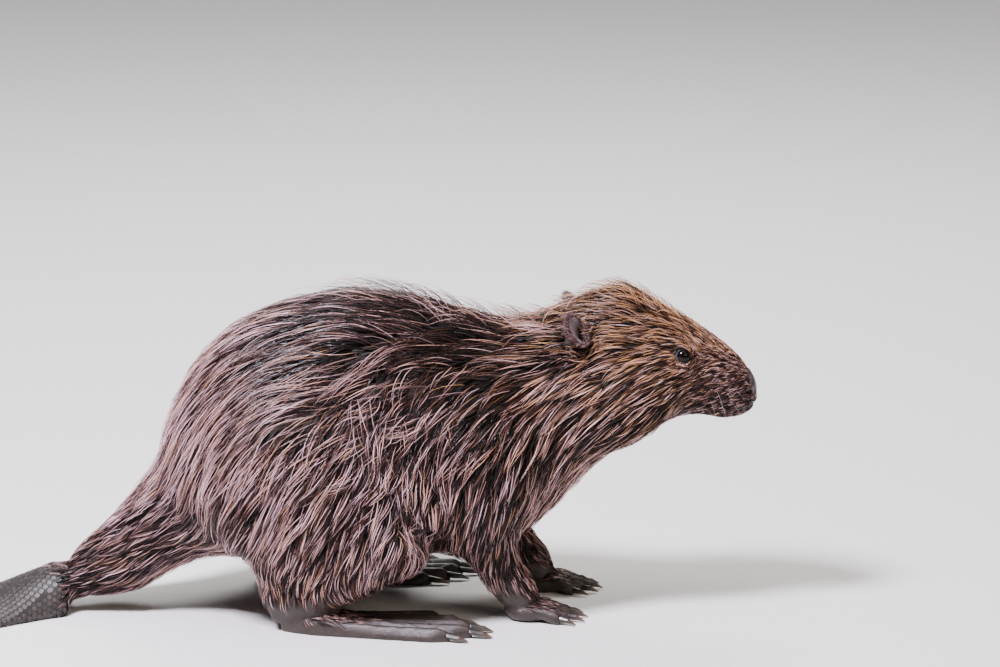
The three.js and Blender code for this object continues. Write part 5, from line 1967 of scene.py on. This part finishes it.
    def tubes(self, name: str, laid: Array, ups: Array, width: Array, values: dict, material: Material) -> Object:
        """Makes closed, three-sided tapering tubes along the paths.

        Args:
            name: The piece's name.
            laid: N by rings + 1 by 3, the points along each lock.
            ups: The skin's normals there.
            width: Across each lock at its widest.
            values: For each attribute, one number for each lock.
            material: What it is made of.

        Returns:
            The piece.
        """
        locks, knots = laid.shape[:2]
        rings = knots - 1
        tangent = unit(np.gradient(laid, axis=1))
        side = unit(np.cross(ups, tangent))
        up = np.cross(tangent, side)
        along = np.linspace(0, 1, knots)
        root, soon, sharp = self.taper
        swell = root + (1 - root) * np.sin(np.pi * np.minimum(1, along[:rings] * soon))
        thick = swell * (1 - along[:rings] ** sharp)
        half = width[:, None, None] / 2 * thick[None, :, None]
        middle, side, up = laid[:, :rings], side[:, :rings], up[:, :rings]
        ridge = middle + up * half * 2 * self.flat
        corners = np.stack([middle - side * half, middle + side * half, ridge], axis=2).reshape(locks, rings * 3, 3)
        points = np.concatenate([corners, laid[:, -1:]], axis=1)
        points[..., 2] = np.maximum(points[..., 2], 0)
        size = rings * 3 + 1
        faces, spots = self.one_lock(rings)
        every = (faces[None] + (np.arange(locks) * size)[:, None, None]).reshape(-1, 3)
        piece = mesh_piece(name, points.reshape(-1, 3), every, material)
        on_map = self.unwrap(laid[:, 0])[:, None, None, :] + (spots - 0.5)[None] * self.patch
        layer = piece.data.uv_layers.new(name="OFBake")
        layer.data.foreach_set("uv", np.ascontiguousarray(on_map, np.float32).ravel())
        set_values(piece, "along", np.tile(np.append(np.repeat(along[:rings], 3), 1), locks))
        for key, value in values.items():
            set_values(piece, key, np.repeat(value, size))
        return piece

    @staticmethod
    def one_lock(rings: int) -> tuple[Array, Array]:
        """Gives the faces of one lock.

        Args:
            rings: How many rings its tube has.

        Returns:
            Vertex numbers, M by 3, and each corner's place on a patch from 0 to 1.
        """
        faces, spots = [], []
        for ring in range(rings - 1):
            for k in range(3):
                a, b = ring * 3 + k, ring * 3 + (k + 1) % 3
                quad = (a, b, b + 3, a + 3)
                at = ((ring, k), (ring, k + 1), (ring + 1, k + 1), (ring + 1, k))
                for pick in ((0, 1, 2), (0, 2, 3)):
                    faces.append([quad[i] for i in pick])
                    spots.append([at[i] for i in pick])
        last = (rings - 1) * 3
        for k in range(3):
            faces.append([last + k, last + (k + 1) % 3, rings * 3])
            spots.append([(rings - 1, k), (rings - 1, k + 1), (rings, k + 0.5)])
        faces.append([0, 2, 1])
        spots.append([(0, 0), (0.3, 1.5), (0, 3)])
        return np.array(faces), np.array(spots, float) / (rings, 3)

    @staticmethod
    def unwrap(points: Array) -> Array:
        """Unrolls the skin round the body's long axis.

        Args:
            points: N by 3, on the skin.

        Returns:
            N by 2, within a square from 0 to 1.
        """
        axis, margin = 0.15, 0.02  # the axis's height, and what is left free round the map
        (back, _, _), (front, _, _) = CAD_BOX
        around = np.arctan2(points[:, 1], points[:, 2] - axis) / (2 * np.pi) + 0.5
        along = (points[:, 0] - back) / (front - back)
        return margin + (1 - 2 * margin) * np.stack([along, around], axis=1)

    def build(self, surface: Surface, comb: Comb, material: Material) -> None:
        """Grows all the layers, and makes one piece for each region, side and layer.

        Args:
            surface: The skin.
            comb: The lie of the coat.
            material: What it is made of.
        """
        rng, ground = np.random.default_rng(SEED), self.ground(surface, comb)
        for layer in self.layers:
            locks = self.lay(layer, ground, surface, comb, rng)
            roots = locks.laid[:, 0]
            gold = np.clip(locks.combed.gold + rng.normal(0, self.varied[1], len(roots)), 0, 1)
            width = locks.combed.width * layer.width * np.exp(rng.normal(0, self.varied[0], len(roots)))
            tone = np.clip(locks.tone, 0, 1)
            for number, kind in enumerate(Region):
                for side in Side:
                    mine = (locks.combed.region == number) & ((roots[:, 1] > 0) == (side is Side.LEFT))
                    if not mine.any():
                        continue
                    name = f"coat_{kind.value}_{side.word}_{layer.name}"
                    values = {"tone": tone[mine], "gold": gold[mine]}
                    piece = self.tubes(name, locks.laid[mine], locks.ups[mine], width[mine], values, material)
                    finish_piece(piece)

    def fringe(self, ear: Ear, material: Material) -> None:
        """Makes the short hair on one ear: dark up its back, and pale along its rim and inside.

        Args:
            ear: Which ear.
            material: What it is made of.
        """
        knots, spread = 4, 0.18
        rng = np.random.default_rng(SEED)
        laid, ups, kinds = ear.hairs(rng, knots)
        tones, golds, widths = (0.32, 0.58, 0.8), (0.5, 0.15, 0.0), (0.36, 0.3, 0.2)  # for each kind
        tone = np.array(tones)[kinds] + rng.normal(0, spread, len(kinds))
        width = np.array(widths)[kinds] * MM
        values = {"tone": np.clip(tone, 0, 1), "gold": np.array(golds)[kinds]}
        finish_piece(self.tubes(f"ear_hair_{ear.side.word}", laid, ups, width, values, material))


# ---- the studio
@dataclass(frozen=True)
class Lamp:
    """One square soft lamp that faces the animal: its place, width, power in watts and colour."""

    name: str
    at: Triple
    size: float
    power: float
    colour: str


@dataclass
class Studio:
    """A wide round pale floor with a cove all round, soft lamps, and a long lens that looks a little down."""

    target: Triple = (34.5, 0.0, 240.5)  # what the lens is aimed at, in millimetres from HOME
    elevation: float = 12.0  # how far the lens looks down, in degrees
    distance: float = 6.0
    lens: float = 250.0  # focal length, in millimetres, on a 36 mm wide sensor
    lamps: tuple[Lamp, ...] = (
        Lamp("sky", (-0.9, -1.1, 2.3), 0.6, 240, "f4eeff"),
        Lamp("fill", (1.6, -1.8, 1.4), 1.4, 22, "fff0e0"),
        Lamp("rim", (0.2, 1.8, 2.0), 1.0, 60, "ffffff"),
        Lamp("room", (0.0, 0.0, 6.5), 5.0, 200, "ffffff"),
    )
    aim: float = 0.15  # the height over the floor that the lamps are aimed at, in metres
    air: float = 0.14  # brightness of the surroundings
    floor_radius: float = 14.0
    cove: Pair = (3.0, 9.0)  # radius of the curve at its edge, and the height of the wall above it
    around: int = 96  # corners round the floor

    def camera(self) -> None:
        """Places the camera."""
        data = bpy.data.cameras.new("camera")
        data.lens = self.lens
        data.sensor_width = 36
        data.clip_end = 60
        camera = bpy.data.objects.new("camera", data)
        bpy.context.scene.collection.objects.link(camera)
        tilt = math.radians(self.elevation)
        back = Vector((0, -math.cos(tilt), math.sin(tilt)))
        camera.location = Vector(place(*self.target)) + back * self.distance
        camera.rotation_euler = (-back).to_track_quat("-Z", "Y").to_euler()
        bpy.context.scene.camera = camera

    def light(self) -> None:
        """Places the lamps and the surroundings."""
        for lamp in self.lamps:
            data = bpy.data.lights.new(lamp.name, "AREA")
            data.size = lamp.size
            data.energy = lamp.power
            data.color = linear(lamp.colour)[:3]
            placed = bpy.data.objects.new(lamp.name, data)
            bpy.context.scene.collection.objects.link(placed)
            placed.location = lamp.at
            way = Vector((0, 0, self.aim)) - placed.location
            placed.rotation_euler = way.to_track_quat("-Z", "Y").to_euler()
        world = bpy.data.worlds.new("surroundings")
        bpy.context.scene.world = world
        world.use_nodes = True
        world.node_tree.nodes["Background"].inputs["Color"].default_value = linear("e6e9ee")
        world.node_tree.nodes["Background"].inputs["Strength"].default_value = self.air

    def floor(self) -> None:
        """Makes the floor and the cove round it."""
        bend, top = self.cove
        turn = np.linspace(0, math.pi / 2, 12)
        radii = np.append(self.floor_radius + bend * np.sin(turn), self.floor_radius + bend)
        heights = np.append(bend - bend * np.cos(turn), top)
        spin = np.linspace(0, 2 * math.pi, self.around, endpoint=False)
        wheel = np.stack([np.cos(spin), np.sin(spin), spin * 0], axis=1)
        rows = [wheel * r + (0, 0, z) for r, z in zip(radii, heights)]
        points = np.vstack([(0.0, 0.0, 0.0), *rows])
        ring = np.arange(self.around)
        disc = np.stack([ring * 0, ring + 1, (ring + 1) % self.around + 1], axis=1)
        bands = loop_faces(len(rows), self.around)[:, ::-1] + 1
        faces = np.vstack([disc, bands[:, :3], bands[:, [0, 2, 3]]])
        material, tree, surface = new_material("matt_background_paper")
        at = add_node(tree, "ShaderNodeTexCoord").outputs["Object"]
        tooth = add_node(tree, "ShaderNodeTexNoise", {"Vector": at, "Scale": 180.0, "Detail": 3.0})
        colour = add_node(tree, "ShaderNodeValToRGB", {"Fac": tooth}, ((0.3, "d8d6d2"), (0.7, "dfddd9")))
        fill(tree, surface, {"Base Color": colour, "Roughness": 0.9})
        mesh_piece("floor", points, faces, material)

    def build(self) -> None:
        """Makes the floor, the lights and the camera."""
        self.camera()
        self.light()
        self.floor()


def main() -> None:
    """Builds the animal and the studio."""
    logging.basicConfig(level=logging.INFO, format="%(relativeCreated)d ms %(message)s")
    comb, maker = Comb(), Skin()
    skin = maker.closed(WetHide().make())
    maker.sink(skin, comb)
    maker.refine(skin)
    maker.carve(skin)
    surface = Surface(skin)
    maker.thin(skin)
    ears = [Ear(side) for side in Side]
    added = [ear.add_to(skin) for ear in ears]
    maker.zones(skin, *(np.concatenate([pair[k] for pair in added]) for k in range(2)))
    finish_piece(skin, tuple(maker.nodes()))
    eyes = Eyeball().make()
    for side in Side:
        Eye(side).build(eyes)
    Claws().build(Horn().make())
    hair = Hair().tree()
    Whiskers().build(surface, hair, Keratin("whisker_keratin", "65574b", "b5a696", 30.0, 0.35).make())
    TailScales().build(
        surface,
        hair,
        Keratin("tail_scale_keratin", "0f0d0c", "38312e", 6.0, 0.5).make(),
        Keratin("tail_bristle_keratin", "4a3a2e", "8a735f", 20.0, 0.45).make(),
    )
    coat, fur = Coat(), WetFur().make()
    coat.build(surface, comb, fur)
    for ear in ears:
        coat.fringe(ear, fur)
    Studio().build()


if __name__ == "__main__":
    main()
